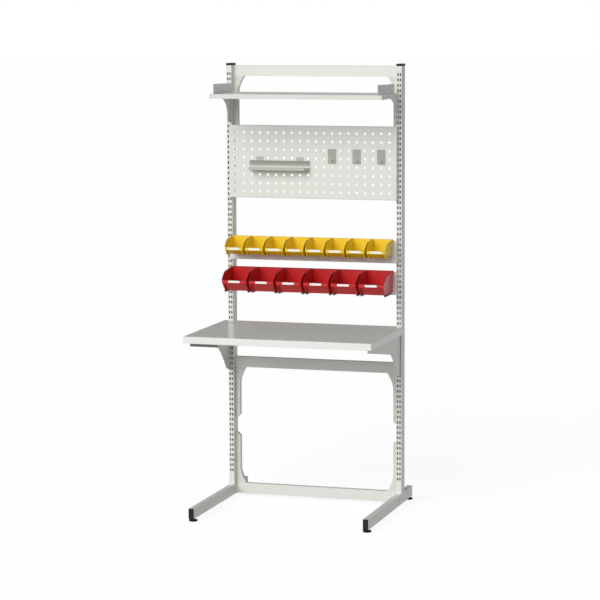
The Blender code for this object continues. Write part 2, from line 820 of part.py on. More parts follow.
def bin_mesh(size):
    """An open-fronted bin with the hook behind its rim. Its origin lies on the rail's top edge."""
    work = bmesh.new()
    left = work.faces.new([work.verts.new((-size.width / 2, y, z)) for y, z in bin_side(size)])
    grown = bmesh.ops.extrude_face_region(work, geom=[left], use_keep_orig=True)["geom"]
    right_verts = [part for part in grown if isinstance(part, bmesh.types.BMVert)]
    bmesh.ops.translate(work, verts=right_verts, vec=(size.width, 0, 0))
    open_faces = [face for face in work.faces if is_mouth(face, size)]
    bmesh.ops.delete(work, geom=open_faces, context="FACES_ONLY")
    recess_lower_front(work, size)
    for vert in work.verts:
        below_share = (size.rim - vert.co.z) / (size.rim + size.height)
        ahead_share = (-SEAT_GAP - vert.co.y) / size.depth
        vert.co.x -= math.copysign(size.taper * below_share + size.draft * ahead_share, vert.co.x)
    floor = min(work.faces, key=lambda face: face.calc_center_median().z)
    shell = solidified(work, floor, (0, 0, -1), BIN_WALL)
    return combine(shell, [bin_hook(size)], "UNION")


def is_mouth(face, size):
    """Whether this face of the bin's prism is one of those that stay open."""
    face.normal_update()
    middle = face.calc_center_median()
    level = abs(face.normal.x) < abs(face.normal.z)
    return level and middle.z > -size.lip_drop and -size.depth < middle.y + SEAT_GAP < 0


def recess_lower_front(work, size):
    """Sets the slanting face under the lip back, inside a margin."""
    lower_front = next(face for face in work.faces if is_lower_front(face, size))
    inwards = math.copysign(BIN_RECESS_DEPTH, lower_front.normal.y)
    bmesh.ops.inset_individual(work, faces=[lower_front], thickness=BIN_RECESS_MARGIN)
    bmesh.ops.inset_individual(work, faces=[lower_front], thickness=BIN_RECESS_SLOPE, depth=inwards)


def is_lower_front(face, size):
    """Whether this face of the bin's prism is the one that slants from the lip to the floor."""
    face.normal_update()
    middle = face.calc_center_median()
    under_lip = -size.lip_drop - size.lip_height
    return -size.height < middle.z < under_lip and middle.y < -size.floor_reach


def bin_hook(size):
    """The bead along the rim that rests on the rail, and the tongue behind the rail."""
    root_y = -SEAT_GAP - BIN_WALL / 2
    tongue_y = BIN_RAIL_SHEET + SEAT_GAP
    outline = [
        (root_y, SEAT_GAP),
        (tongue_y, SEAT_GAP),
        (tongue_y, -BIN_HOOK_DROP),
        (tongue_y + BIN_WALL, -BIN_HOOK_DROP),
        (tongue_y + BIN_WALL, size.rim),
        (root_y, size.rim),
    ]
    return side_plate(outline, size.width - BIN_WALL, 0)


def red_bin_mesh():
    """The red bin's shell with a rib along each side of its floor."""
    shell = bin_mesh(RED_SIZE)
    outer_x = RED_WIDTH / 2 - RED_TAPER - RED_DRAFT - BIN_WALL / 2
    front_y = BIN_WALL - RED_FLOOR_REACH
    root_z = BIN_WALL / 2 - RED_HEIGHT
    ribs = []
    for side in SIDES.values():
        near, far = sorted((side * outer_x, side * (outer_x - RIB_WIDTH)))
        ribs.append(box((near, front_y, -RED_HEIGHT - RIB_DROP), (far, front_y + RIB_LENGTH, root_z)))
    return combine(shell, ribs, "UNION")


def label_mesh(size):
    """A label on the front of a bin's lip, in the bin's own frame."""
    back_y = -SEAT_GAP - size.depth - SEAT_GAP
    middle_z = -size.lip_drop - size.lip_height / 2
    low = (-LABEL_WIDTH / 2, back_y - LABEL_THICKNESS, middle_z - LABEL_HEIGHT / 2)
    return box(low, (LABEL_WIDTH / 2, back_y, middle_z + LABEL_HEIGHT / 2))


def worktop_mesh():
    half_width = FRAME_WIDTH / 2 + WORKTOP_OVERHANG
    low = slot_z(WORKTOP_ROW) + BRACKET_RISE + SEAT_GAP
    front_y = -SEAT_GAP - WORKTOP_DEPTH
    slab = box((-half_width, front_y, low), (half_width, -SEAT_GAP, low + WORKTOP_THICKNESS))
    return with_edges_rounded(slab, WORKTOP_BEVEL, 2)


def worktop_bracket_mesh(side):
    top = slot_z(WORKTOP_ROW) + BRACKET_RISE
    rear = -SEAT_GAP
    reach = WORKTOP_DEPTH - BRACKET_SETBACK
    low = slot_z(max(WORKTOP_HOOK_ROWS)) - BRACKET_TAIL
    slope = (BRACKET_KNEE_DROP - BRACKET_NOSE) / (reach - BRACKET_KNEE_REACH)
    knee = (-BRACKET_KNEE_REACH, top - BRACKET_KNEE_DROP)
    lead = (knee[0] + BRACKET_KNEE_LEAD, knee[1] - slope * BRACKET_KNEE_LEAD)
    heel = (-BRACKET_HEEL_REACH, low + BRACKET_HEEL_RISE)
    outline = [
        (-reach, top),
        (-reach, top - BRACKET_NOSE),
        *curve_points(knee, lead, heel, CURVE_STEPS),
        (-BRACKET_TOE_REACH, low),
        (rear, low),
    ]
    for row in reversed(WORKTOP_HOOK_ROWS):
        outline += slot_hook(row, rear)
    outline.append((rear, top))
    plate = side_plate(outline, BRACKET_SHEET, side * OUTER_COLUMN_X)
    ends = sorted((side * OUTER_COLUMN_X, side * (OUTER_COLUMN_X - BRACKET_FLANGE)))
    flange = box((ends[0], -reach, top - BRACKET_SHEET), (ends[1], rear, top))
    return combine(plate, [flange], "UNION")


def build():
    clear_scene()
    parts = new_collection("workbench")
    bench = bpy.data.objects.new("bench_frame", None)
    parts.objects.link(bench)
    bench.location = (0, (FRONT_MOST - REAR_MOST) / 2, 0)

    def place(name, mesh, material, location=(0, 0, 0), rotation=(0, 0, 0), smooth=False):
        made = bpy.data.objects.new(name, mesh)
        parts.objects.link(made)
        made.parent = bench
        made.location = location
        made.rotation_euler = rotation
        if not mesh.materials:
            mesh.materials.append(principled(material))
        if smooth:
            mesh.shade_smooth()
            mesh.set_sharp_from_angle(angle=math.pi / 6)
        return made

    upright = upright_mesh()
    upright_cap = cap_mesh(UPRIGHT_FACE, UPRIGHT_DEPTH, UPRIGHT_CAP_HEIGHT)
    beam_cap = cap_mesh(UPRIGHT_FACE, BEAM_HEIGHT, BEAM_CAP_HEIGHT)
    foot = foot_mesh()
    beam_middle_z = BEAM_BOTTOM + BEAM_HEIGHT / 2
    for name, side in SIDES.items():
        x = side * UPRIGHT_X
        place(f"{name}_upright", upright, OFF_WHITE, (x, UPRIGHT_DEPTH / 2, UPRIGHT_BOTTOM))
        place(f"{name}_upright_cap", upright_cap, BLACK_PLASTIC, (x, UPRIGHT_DEPTH / 2, UPRIGHT_TOP))
        place(f"{name}_foot_beam", beam_mesh(side), OFF_WHITE, (x, 0, 0))
        front_end = (x, -BEAM_FRONT_REACH, beam_middle_z)
        rear_end = (x, BEAM_REAR_REACH, beam_middle_z)
        place(f"{name}_front_beam_cap", beam_cap, BLACK_PLASTIC, front_end, (math.pi / 2, 0, 0))
        place(f"{name}_rear_beam_cap", beam_cap, BLACK_PLASTIC, rear_end, (-math.pi / 2, 0, 0))
        for end, y in foot_y().items():
            place(f"{name}_{end}_levelling_foot", foot, BLACK_PLASTIC, (x, y, 0), smooth=True)
        place(f"{name}_shelf_bracket", shelf_bracket_mesh(side), OFF_WHITE)
        place(f"{name}_worktop_bracket", worktop_bracket_mesh(side), OFF_WHITE)

    place("top_rail", rail_mesh(UPRIGHT_TOP, -1), OFF_WHITE)
    place("worktop_rail", rail_mesh(WORKTOP_RAIL_TOP, -1), OFF_WHITE)
    place("bottom_rail", rail_mesh(BOTTOM_RAIL_BOTTOM, 1), OFF_WHITE)
    place("top_shelf", shelf_mesh(), OFF_WHITE)
    place("perforated_panel", panel_mesh(), LIGHT_GREY)
    place("tool_tray", tray_mesh(), HOLDER_GREY)
    for number, column in enumerate(TOOL_HOOK_COLUMNS, 1):
        place(f"tool_hook_{number}", tool_hook_mesh(column), HOLDER_GREY)
    place("worktop", worktop_mesh(), WORKTOP_GREY)

    rows = (
        ("yellow", YELLOW_ROW, YELLOW_SIZE, bin_mesh(YELLOW_SIZE), YELLOW_PLASTIC),
        ("red", RED_ROW, RED_SIZE, red_bin_mesh(), RED_PLASTIC),
    )
    for color, row, size, shell, plastic in rows:
        label = label_mesh(size)
        place(f"{color}_bin_rail", bin_rail_mesh(row), LIGHT_GREY)
        for number, hang in enumerate(bin_places(size.width, row), 1):
            place(f"{color}_bin_{number}", shell, plastic, hang)
            place(f"{color}_bin_label_{number}", label, LABEL_CARD, hang)


build()
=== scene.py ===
"""Looks of the workbench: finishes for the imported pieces, and finer pieces in place of most."""

import json
import math
from collections import namedtuple

import bmesh
import bpy
from mathutils import Matrix, Vector


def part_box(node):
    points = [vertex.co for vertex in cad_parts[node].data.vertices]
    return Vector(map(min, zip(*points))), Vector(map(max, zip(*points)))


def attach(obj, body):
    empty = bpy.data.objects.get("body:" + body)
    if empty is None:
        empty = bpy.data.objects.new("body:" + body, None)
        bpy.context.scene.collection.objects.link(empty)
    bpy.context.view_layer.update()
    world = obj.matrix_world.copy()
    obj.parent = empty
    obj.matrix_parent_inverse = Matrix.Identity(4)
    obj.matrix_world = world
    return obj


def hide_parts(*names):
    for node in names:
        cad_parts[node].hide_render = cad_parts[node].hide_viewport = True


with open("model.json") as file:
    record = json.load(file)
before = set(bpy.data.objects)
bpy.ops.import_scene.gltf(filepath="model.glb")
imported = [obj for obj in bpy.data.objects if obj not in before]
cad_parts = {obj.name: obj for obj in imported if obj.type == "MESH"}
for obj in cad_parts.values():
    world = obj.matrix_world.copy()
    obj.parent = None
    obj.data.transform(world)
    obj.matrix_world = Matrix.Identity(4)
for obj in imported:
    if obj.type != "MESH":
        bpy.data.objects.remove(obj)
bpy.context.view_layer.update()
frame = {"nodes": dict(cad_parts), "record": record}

# The camera's place, its aim in degrees and its lens
CAMERA_PLACE = (3.2906, -10.71665, 2.4194)
CAMERA_YAW = 17.115
CAMERA_PITCH = 7.178
CAMERA_ROLL = -0.239
CAMERA_LENS = 144.07
CAMERA_SENSOR = 36.0
CAMERA_REACH = 400

# The studio: its size, its floor, the light from each height of its room, and its key light in degrees
STUDIO_RADIUS = 85
BACKDROP_GAP = 0.5
BACKDROP_RINGS = 24
FLOOR_SIDES = 96
ROOM_LIGHT = (
    (0.00, 0.18),
    (0.42, 0.33),
    (0.52, 0.44),
    (0.70, 0.46),
    (0.86, 0.26),
    (1.00, 0.12),
)
ROOM_TINT = (1.0, 1.02, 1.04)
REAR_DIMMING = {"From Min": 0.70, "From Max": 0.93, "To Min": 1.0, "To Max": 0.5}
FLOOR_TONES = ((0.19, 0.19, 0.19), (0.21, 0.21, 0.21))
FLOOR_GLOW = 0.87
KEY_ENERGY = 2.1
KEY_ANGLE = 44
KEY_AZIMUTH = -14
KEY_HEIGHT = 28

# Places and clearances shared by the pieces, in metres
WELD = 0.00003
SEAT_GAP = 0.0003
HANG_STANDOFF = 0.024
UPRIGHT_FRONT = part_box("left_upright")[0].y
HANG_Y = UPRIGHT_FRONT - HANG_STANDOFF
HOLDER_Y = HANG_Y - SEAT_GAP

# Angles in degrees: flat faces joined, edges that look sharp, cut edges, rims and moulded corners
FLAT_ANGLE = 0.5
SHARP_ANGLE = 46
CUT_ANGLE = 50
RIM_ANGLE = 60
MOULDED_ANGLE = 20

# Directions, and the cosine from which one counts as facing or as lying along another
BACKWARDS = Vector((0, 1, 0))
UPWARDS = Vector((0, 0, 1))
DOWNWARDS = Vector((0, 0, -1))
FACING = 0.9
ALONG = 0.99

# Edges: a rounding up to the widest smooth face is shaded smooth, and a flat face isn't
EDGE_ROUNDING = 0.0004
FINE_ROUNDING = 0.0002
WIDEST_SMOOTH = 0.0035
SHORTEST_CUT = 0.004
TUBE_CORNER = 0.0022

# Steps of a rounding on a fine edge, a moulded edge and a corner, and the roundness of a rod
EDGE_STEPS = 2
MOULDED_STEPS = 3
CORNER_STEPS = 4
ROD_STEPS = 3

# Cross rails: the band along the outer edge, and how proud it stands
RAIL_BAND = 0.051
RAIL_BAND_PROUD = 0.0008

# Shelf and its guards
SHELF_SHEET = 0.0015
SHELF_BEND = 0.0025
GUARD_INSET = 0.0205
GUARD_END_INSET = 0.003
GUARD_FRONT_RISE = 0.0475
GUARD_REAR_RISE = 0.0415
GUARD_CORNER = 0.004
DOUBLER_SHEET = 0.0008
DOUBLER_LENGTH = 0.135

# Panel and bin rails, with the hooks that hang them in the slots
PANEL_SHEET = 0.0015
PANEL_BEND = 0.0025
PANEL_HOOK_SHARES = (0.08, 0.95)
BIN_RAIL_HOOK_SHARES = (0.3, 0.75)
SLOT_HOOK_SHEET = 0.0012
SLOT_HOOK_ROOT = 0.008
SLOT_HOOK_GAP = 0.0023
SLOT_HOOK_LIP = 0.003
SLOT_HOOK_DROP = 0.005
SLOT_HOOK_RISE = 0.006
HOLE_DIAMETER = 0.0125
HOLE_PITCH = 0.040
HOLE_COLUMNS = 20
HOLE_ROWS = 8
FIRST_HOLE_DROP = 0.0346
HOLE_SIDES = 20
HOLE_CUTTER_LENGTH = 0.008

# Tool tray and tool hooks
HOLDER_SHEET = 0.0015
HOLDER_BEND = 0.002
TRAY_FRONT_TAPER = 0.013
TRAY_FRONT_RISE = 0.012
TRAY_REAR_RISE = 0.044
TRAY_FLOOR_DROP = 0.0564
TRAY_CURVE = 0.024
STRAP_WIDTH = 0.036
STRAP_LENGTH = 0.069
STRAP_TOP_RISE = 0.006
STRAP_CORNER = 0.003
STRAP_ROUNDING = 0.0003
TRAY_COLUMNS = (3, 8)
TRAY_ROWS = (3, 4)
HOOK_WIDTH = 0.040
HOOK_COLUMNS = (12, 15, 18)
HOOK_ROWS = (2, 3)
PEG_DIAMETER = 0.0065
PEG_REACH = 0.006
PRONG_DIAMETER = 0.005
PRONG_RISE = 0.015
PRONG_REACH = 0.030
PRONG_BEND = 0.004
PRONG_BEND_STEPS = 6
PRONG_TIP_RISE = 0.010

# Bins
BIN_WALL = 0.002
BIN_CORNER = 0.003
BIN_HOOK_DROP = 0.012
RIM_DIAMETER = 0.0018
CURVE_STEPS = 10
RECESS_MARGIN = 0.0055
RECESS_STEP = 0.0004
RECESS_TOP_DEPTH = 0.008
RECESS_LOW_DEPTH = 0.020
HOLDER_BAR = 0.0012
HOLDER_BAR_REACH = 0.0016
TONGUE_ROUNDING = 0.0005
FOOT_ROUNDING = 0.0012
FOOT_WIDTH = 0.0085
FOOT_OVERHANG = 0.0045
FOOT_RISE = 0.006
LABEL_WIDTH = 0.0575
LABEL_HEIGHT = 0.0105
LABEL_CORNER = 0.0008
LABEL_ROUNDING = 0.0001

BinSize = namedtuple(
    "BinSize",
    "width depth height rim shoulder_reach shoulder_drop shoulder_curve "
    "lip_drop lip_height floor_reach taper draft foot_drop foot_length",
)
YELLOW_SIZE = BinSize(
    width=0.0974,
    depth=0.1345,
    height=0.0745,
    rim=0.0045,
    shoulder_reach=0.100,
    shoulder_drop=0.006,
    shoulder_curve=0.016,
    lip_drop=0.0383,
    lip_height=0.014,
    floor_reach=0.113,
    taper=0.005,
    draft=0.0008,
    foot_drop=0.003,
    foot_length=0.060,
)
RED_SIZE = BinSize(
    width=0.132,
    depth=0.173,
    height=0.0985,
    rim=0.006,
    shoulder_reach=0.130,
    shoulder_drop=0.0075,
    shoulder_curve=0.020,
    lip_drop=0.0418,
    lip_height=0.0145,
    floor_reach=0.133,
    taper=0.0056,
    draft=0.0021,
    foot_drop=0.005,
    foot_length=0.090,
)

# Worktop brackets and the dark strips inside them, which are painted shade under the worktop
BRACKET_SHEET = 0.002
KNEE_REACH = 0.190
STRIP_SHEET = 0.002
STRIP_HEIGHT = 0.0145

# Worktop
BAND_SHEET = 0.002
BAND_CORNER = 0.004
BAND_ROUNDING = 0.0009
BOARD_INSET_SHARE = 0.98
BOARD_SUNK = 0.00008

# Levelling feet
PAD_RADIUS = 0.020
PAD_THICKNESS = 0.008
COLLAR_RADIUS = 0.0085
COLLAR_TOP = 0.0137
STUD_RADIUS = 0.005
THREAD_DEPTH = 0.0006
THREAD_PITCH = 0.0015
COLLAR_ROUNDING = 0.0005
COLLAR_SIDES = 6
PAD_SIDES = 48
STUD_SIDES = 24
PAD_PROFILE_SHARES = (
    (0, 0),
    (0.90, 0),
    (1, 0.2),
    (1, 0.62),
    (0.95, 0.85),
    (0.84, 1),
    (0.46, 1.03),
    (0, 1.03),
)

# Caps of the uprights
CAP_OVERHANG = 0.0018
CAP_ROUNDING = 0.0016
CAP_PLUG_RISE = 0.0045
CAP_PLUG_ROUNDING = 0.0008
CAP_PLUG_WALL = 0.0023
CAP_PLUG_DEPTH = 0.009

# Welds
WELD_BEAD = 0.0034
WELD_STEPS = 14
WELD_RIPPLE = 0.16


class Wire:
    """A socket in a node tree. Arithmetic on it adds Math nodes."""

    def __init__(self, tree, socket):
        self.tree = tree
        self.socket = socket

    def math(self, operation, first, second):
        return self.tree.node("ShaderNodeMath", {"operation": operation}, {0: first, 1: second})

    def beside(self, name):
        """Another output of the node that this wire comes from."""
        return Wire(self.tree, self.socket.node.outputs[name])

    def __add__(self, other):
        return self.math("ADD", self, other)

    def __radd__(self, other):
        return self.math("ADD", other, self)

    def __sub__(self, other):
        return self.math("SUBTRACT", self, other)

    def __rsub__(self, other):
        return self.math("SUBTRACT", other, self)

    def __mul__(self, other):
        return self.math("MULTIPLY", self, other)

    def __rmul__(self, other):
        return self.math("MULTIPLY", other, self)


class NodeTree:
    """A node tree that takes plain values and wires alike."""

    def __init__(self, tree):
        self.tree = tree

    def feed(self, socket, value):
        if isinstance(value, Wire):
            self.tree.links.new(value.socket, socket)
        elif socket.type == "RGBA" and len(value) == 3:
            socket.default_value = (*value, 1)
        else:
            socket.default_value = value

    def node(self, kind, settings=None, sockets=None, output=0):
        made = self.tree.nodes.new(kind)
        for name, value in (settings or {}).items():
            if name == "stops":
                self.set_stops(made.color_ramp, value)
            else:
                setattr(made, name, value)
        for name, value in (sockets or {}).items():
            self.feed(made.inputs[name], value)
        return Wire(self, made.outputs[output])

    def set_stops(self, ramp, stops):
        while len(ramp.elements) < len(stops):
            ramp.elements.new(1)
        for element, (place, color) in zip(ramp.elements, stops):
            element.position = place
            element.color = (*color, 1)

    def blend(self, share, first, second):
        settings = {"data_type": "RGBA", "clamp_factor": True}
        return self.node("ShaderNodeMix", settings, {0: share, 6: first, 7: second}, 2)


class Finish(NodeTree):
    """A material made from nodes around one Principled shader."""

    def __init__(self, name, **settings):
        self.material = bpy.data.materials.new(name)
        self.material.use_nodes = True
        super().__init__(self.material.node_tree)
        self.shader = self.tree.nodes["Principled BSDF"]
        self.set(**settings)

    def set(self, **values):
        """Values or wires for the shader's sockets, named with _ for a space."""
        for name, value in values.items():
            self.feed(self.shader.inputs[name.replace("_", " ")], value)

    def noise(self, scale, detail, stretch=(1, 1, 1)):
        """Noise from 0 to 1 whose spots are about 1/scale metres wide."""
        place = self.node("ShaderNodeTexCoord", output="Object")
        where = self.node("ShaderNodeMapping", {}, {"Vector": place, "Scale": stretch})
        return self.node(
            "ShaderNodeTexNoise", {}, {"Vector": where, "Scale": scale, "Detail": detail}, "Fac"
        )

    def bump(self, height, distance, strength):
        sockets = {"Height": height, "Distance": distance, "Strength": strength}
        return self.node("ShaderNodeBump", {}, sockets, "Normal")


def shaded(color, share):
    """A darker color, or a lighter one with a share above 1."""
    return tuple(channel * share for channel in color)


def varied(middle, spread, noise):
    """A wire that follows the noise round a middle value."""
    return middle + spread * (noise - 0.5)


def powder_coat(name, color):
    """Baked powder paint: a fine orange peel, and a tone that is not quite even."""
    finish = Finish(name)
    clouds = finish.noise(scale=7, detail=4)
    peel = finish.noise(scale=850, detail=2)
    finish.set(
        Base_Color=finish.blend(clouds, shaded(color, 0.97), color),
        Roughness=varied(0.40, 0.10, finish.noise(scale=35, detail=3)),
        Normal=finish.bump(peel, distance=0.00012, strength=0.5),
    )
    return finish.material


def moulded_plastic(name, color, roughness=0.30, low_tone=0.92, specular=0.5):
    """Moulded plastic: a faint flow in its tone and a fine grain."""
    finish = Finish(name, Specular_IOR_Level=specular)
    flow = finish.noise(scale=26, detail=3, stretch=(1, 1, 0.4))
    grain = finish.noise(scale=1500, detail=2)
    finish.set(
        Base_Color=finish.blend(flow, shaded(color, low_tone), color),
        Roughness=varied(roughness, 0.12, finish.noise(scale=110, detail=3)),
        Normal=finish.bump(grain, distance=0.00006, strength=0.5),
    )
    return finish.material


def set_steel_sheen(finish):
    """The uneven gloss and the fine grain of plated sheet."""
    grain = finish.noise(scale=1200, detail=2)
    finish.set(
        Roughness=varied(0.34, 0.16, finish.noise(scale=300, detail=2)),
        Normal=finish.bump(grain, distance=0.00005, strength=0.4),
    )


def plated_steel(name, color):
    """Zinc plated sheet: a soft spangle under a dull sheen."""
    finish = Finish(name, Metallic=0.1)
    spangle = finish.noise(scale=160, detail=4)
    finish.set(Base_Color=finish.blend(spangle, shaded(color, 0.88), color))
    set_steel_sheen(finish)
    return finish.material


def steel_with_painted_shade(name, upper, lower, low_z, high_z):
    """Plated sheet painted dark at its top and pale towards the curve at its foot: painted shade
    above, painted light below.
    """
    finish = Finish(name, Metallic=0.1)
    place = finish.node("ShaderNodeTexCoord", output="Object")
    height = finish.node("ShaderNodeSeparateXYZ", {}, {"Vector": place}, "Z")
    span = {"Value": height, "From Min": low_z, "From Max": high_z}
    rise = finish.node("ShaderNodeMapRange", {}, span)
    spangle = finish.noise(scale=160, detail=4)
    finish.set(Base_Color=finish.blend(varied(rise, 0.08, spangle), lower, upper))
    set_steel_sheen(finish)
    return finish.material


def laminate(name, color):
    """Glossy laminate: a fine fleck in the tone and a faint ripple in the gloss."""
    finish = Finish(name)
    fleck = finish.noise(scale=1400, detail=3)
    clouds = finish.noise(scale=5, detail=3)
    ripple = finish.noise(scale=260, detail=2)
    tone = 0.6 * fleck + 0.4 * clouds
    finish.set(
        Base_Color=finish.blend(tone, shaded(color, 0.93), shaded(color, 1.06)),
        Roughness=0.07 + 0.04 * clouds,
        Normal=finish.bump(ripple, distance=0.00002, strength=0.25),
    )
    return finish.material


def card(name, color):
    """Plain card with its fibres."""
    finish = Finish(name)
    fibres = finish.noise(scale=900, detail=4, stretch=(0.3, 1, 1))
    finish.set(
        Base_Color=finish.blend(fibres, shaded(color, 0.95), color),
        Roughness=varied(0.55, 0.1, fibres),
        Normal=finish.bump(fibres, distance=0.00004, strength=0.4),
    )
    return finish.material


# The finish of each material slot
FRAME_PAINT = (0.80, 0.79, 0.735)
FINISHES = {
    "frame_paint": powder_coat("frame_paint_finish", FRAME_PAINT),
    "panel_paint": powder_coat("panel_paint_finish", (0.79, 0.785, 0.73)),
    "holder_steel": plated_steel("holder_steel_finish", (0.41, 0.40, 0.355)),
    "black_plastic": moulded_plastic(
        "black_plastic_finish", (0.004, 0.004, 0.004), roughness=0.5, specular=0.3
    ),
    "yellow_plastic": moulded_plastic("yellow_plastic_finish", (0.94, 0.66, 0.020)),
    "red_plastic": moulded_plastic("red_plastic_finish", (0.64, 0.019, 0.022), specular=0.35),
    "label_card": card("label_card_finish", (0.93, 0.93, 0.89)),
    "worktop_laminate": laminate("worktop_laminate_finish", (0.78, 0.82, 0.75)),
}

# The finishes of single pieces
# Tones of the tray: painted shade at the top of its back, painted light on the curve at its foot
TRAY_PAINTED_SHADE_TONE = (0.24, 0.243, 0.215)
TRAY_PAINTED_LIGHT_TONE = (0.55, 0.56, 0.50)
STRAP_FINISH = plated_steel("strap_finish", (0.52, 0.515, 0.465))
# The rails' sheets: the frame paint a shade darker, painted shade on their wings and gussets
RAIL_PAINTED_SHADE_FINISH = powder_coat("rail_painted_shade_finish", shaded(FRAME_PAINT, 0.90))
# A dark grey sheet that stands for the shade under the worktop: painted shade
PAINTED_SHADE_STRIP_FINISH = moulded_plastic(
    "bracket_painted_shade_strip_finish", (0.45, 0.45, 0.40), roughness=0.8, specular=0.1
)
# Bins' rim beads and feet, darker than their moulding: painted shade along the rims and at the feet
PAINTED_SHADE_EDGING_FINISHES = {
    "yellow": moulded_plastic("yellow_painted_shade_edging_finish", (0.48, 0.32, 0.012)),
    "red": moulded_plastic("red_painted_shade_edging_finish", (0.07, 0.004, 0.005), specular=0.2),
}
# The prong: plated steel paler than the hook's plate, a painted highlight
PRONG_PAINTED_LIGHT_FINISH = plated_steel("prong_painted_light_finish", (0.72, 0.72, 0.66))
GUARD_FINISH = powder_coat("shelf_guard_finish", (0.72, 0.76, 0.775))
BAND_FINISH = moulded_plastic(
    "edge_band_finish", (0.90, 0.90, 0.855), roughness=0.35, low_tone=0.96
)


def as_object(work):
    """A loose object of a bmesh, which is freed."""
    mesh = bpy.data.meshes.new("shape")
    work.to_mesh(mesh)
    work.free()
    made = bpy.data.objects.new("shape", mesh)
    bpy.context.scene.collection.objects.link(made)
    return made


def evaluated_mesh(source):
    """The mesh of an object with its modifiers applied. The object is removed."""
    bpy.context.view_layer.update()
    graph = bpy.context.evaluated_depsgraph_get()
    mesh = bpy.data.meshes.new_from_object(source.evaluated_get(graph))
    bpy.data.objects.remove(source)
    return mesh


def work_from(mesh):
    """A bmesh of this mesh."""
    work = bmesh.new()
    work.from_mesh(mesh)
    return work


def thickened(work, sheet):
    """This open surface as a wall of the given thickness, drawn inwards."""
    source = as_object(work)
    wall = source.modifiers.new("wall", "SOLIDIFY")
    wall.thickness = sheet
    wall.offset = -1
    wall.use_even_offset = True
    wall.use_quality_normals = True
    return work_from(evaluated_mesh(source))


def pierced(work, cutters):
    """This solid less the cutters."""
    body, tool = as_object(work), as_object(cutters)
    cut = body.modifiers.new("cut", "BOOLEAN")
    cut.operation = "DIFFERENCE"
    cut.solver = "EXACT"
    cut.object = tool
    made = work_from(evaluated_mesh(body))
    bpy.data.objects.remove(tool)
    return made


def rounded(work, edges, width, steps=EDGE_STEPS):
    """Rounds these edges."""
    bmesh.ops.bevel(
        work,
        geom=edges,
        offset=width,
        offset_type="OFFSET",
        segments=steps,
        profile=0.5,
        affect="EDGES",
        clamp_overlap=True,
        material=-1,
    )


def drawn_out(work, face, step):
    """Draws a face out along step."""
    grown = bmesh.ops.extrude_face_region(work, geom=[face], use_keep_orig=True)["geom"]
    verts = [part for part in grown if isinstance(part, bmesh.types.BMVert)]
    bmesh.ops.translate(work, verts=verts, vec=step)


def add_cube(work, low, high):
    """A sharp block between two corners. Returns its corners."""
    size = Vector(high) - Vector(low)
    place = Matrix.Translation((Vector(high) + Vector(low)) / 2) @ Matrix.Diagonal(size).to_4x4()
    return bmesh.ops.create_cube(work, size=1, matrix=place)["verts"]


def add_block(work, low, high, rounding, steps=EDGE_STEPS):
    """A block with rounded edges between two corners."""
    verts = add_cube(work, low, high)
    rounded(work, list({edge for vert in verts for edge in vert.link_edges}), rounding, steps)


def add_plate(work, points, step, corner, rounding):
    """A plate with the outline points, thick by step, its corners and then its rims rounded."""
    plate = bmesh.new()
    face = plate.faces.new([plate.verts.new(point) for point in points])
    drawn_out(plate, face, step)
    bmesh.ops.recalc_face_normals(plate, faces=plate.faces)
    along = Vector(step).normalized()
    upright = [
        edge
        for edge in plate.edges
        if abs((edge.verts[1].co - edge.verts[0].co).normalized().dot(along)) > ALONG
    ]
    if corner:
        rounded(plate, upright, corner, CORNER_STEPS)
    rims = [edge for edge in plate.edges if edge.calc_face_angle() > math.radians(RIM_ANGLE)]
    rounded(plate, rims, rounding)
    add_work(work, plate)


def rectangle(low_x, high_x, y, low_z, high_z):
    """The corners of an upright rectangle that faces forwards."""
    return [(low_x, y, low_z), (high_x, y, low_z), (high_x, y, high_z), (low_x, y, high_z)]


def add_work(work, other):
    """Puts another bmesh into this one."""
    mesh = bpy.data.meshes.new("shape")
    other.to_mesh(mesh)
    other.free()
    work.from_mesh(mesh)
    bpy.data.meshes.remove(mesh)


def add_rod(work, route, diameter, closed=False, ripple=0.0):
    """A round bar along a route of points. A ripple swells every other point."""
    curve = bpy.data.curves.new("rod", "CURVE")
    curve.dimensions = "3D"
    curve.bevel_depth = diameter / 2
    curve.bevel_resolution = ROD_STEPS
    curve.use_fill_caps = not closed
    spline = curve.splines.new("POLY")
    spline.points.add(len(route) - 1)
    spline.use_cyclic_u = closed
    for index, (point, place) in enumerate(zip(spline.points, route)):
        point.co = (*place, 1)
        point.radius = 1 - ripple * (index % 2)
    source = bpy.data.objects.new("rod", curve)
    bpy.context.scene.collection.objects.link(source)
    work.from_mesh(evaluated_mesh(source))


def add_turned(work, profile, x, y, steps):
    """A turned shape: the (radius, z) profile spun about the upright line through x, y."""
    part = bmesh.new()
    verts = [part.verts.new((x + radius, y, z)) for radius, z in profile]
    edges = [part.edges.new(pair) for pair in zip(verts, verts[1:])]
    bmesh.ops.spin(
        part,
        geom=verts + edges,
        cent=(x, y, 0),
        axis=UPWARDS,
        angle=math.tau,
        steps=steps,
        use_merge=True,
    )
    bmesh.ops.remove_doubles(part, verts=part.verts, dist=WELD)
    bmesh.ops.recalc_face_normals(part, faces=part.faces)
    add_work(work, part)


def folded_pan(low, high, open_sides, sheet, bend):
    """A pan of folded sheet between two corners, without the faces towards the open sides."""
    work = bmesh.new()
    add_cube(work, low, high)
    work.normal_update()
    open_faces = [
        face
        for face in work.faces
        if any(face.normal.dot(side) > FACING for side in open_sides)
    ]
    bmesh.ops.delete(work, geom=open_faces, context="FACES")
    folds = [edge for edge in work.edges if len(edge.link_faces) == 2]
    rounded(work, folds, bend, CORNER_STEPS)
    return thickened(work, sheet)


def quadratic(start, lead, end, steps):
    """Points of a curve from start to end that leaves start towards lead."""
    points = []
    for step in range(steps + 1):
        share = step / steps
        first = Vector(start).lerp(Vector(lead), share)
        second = Vector(lead).lerp(Vector(end), share)
        points.append(tuple(first.lerp(second, share)))
    return points


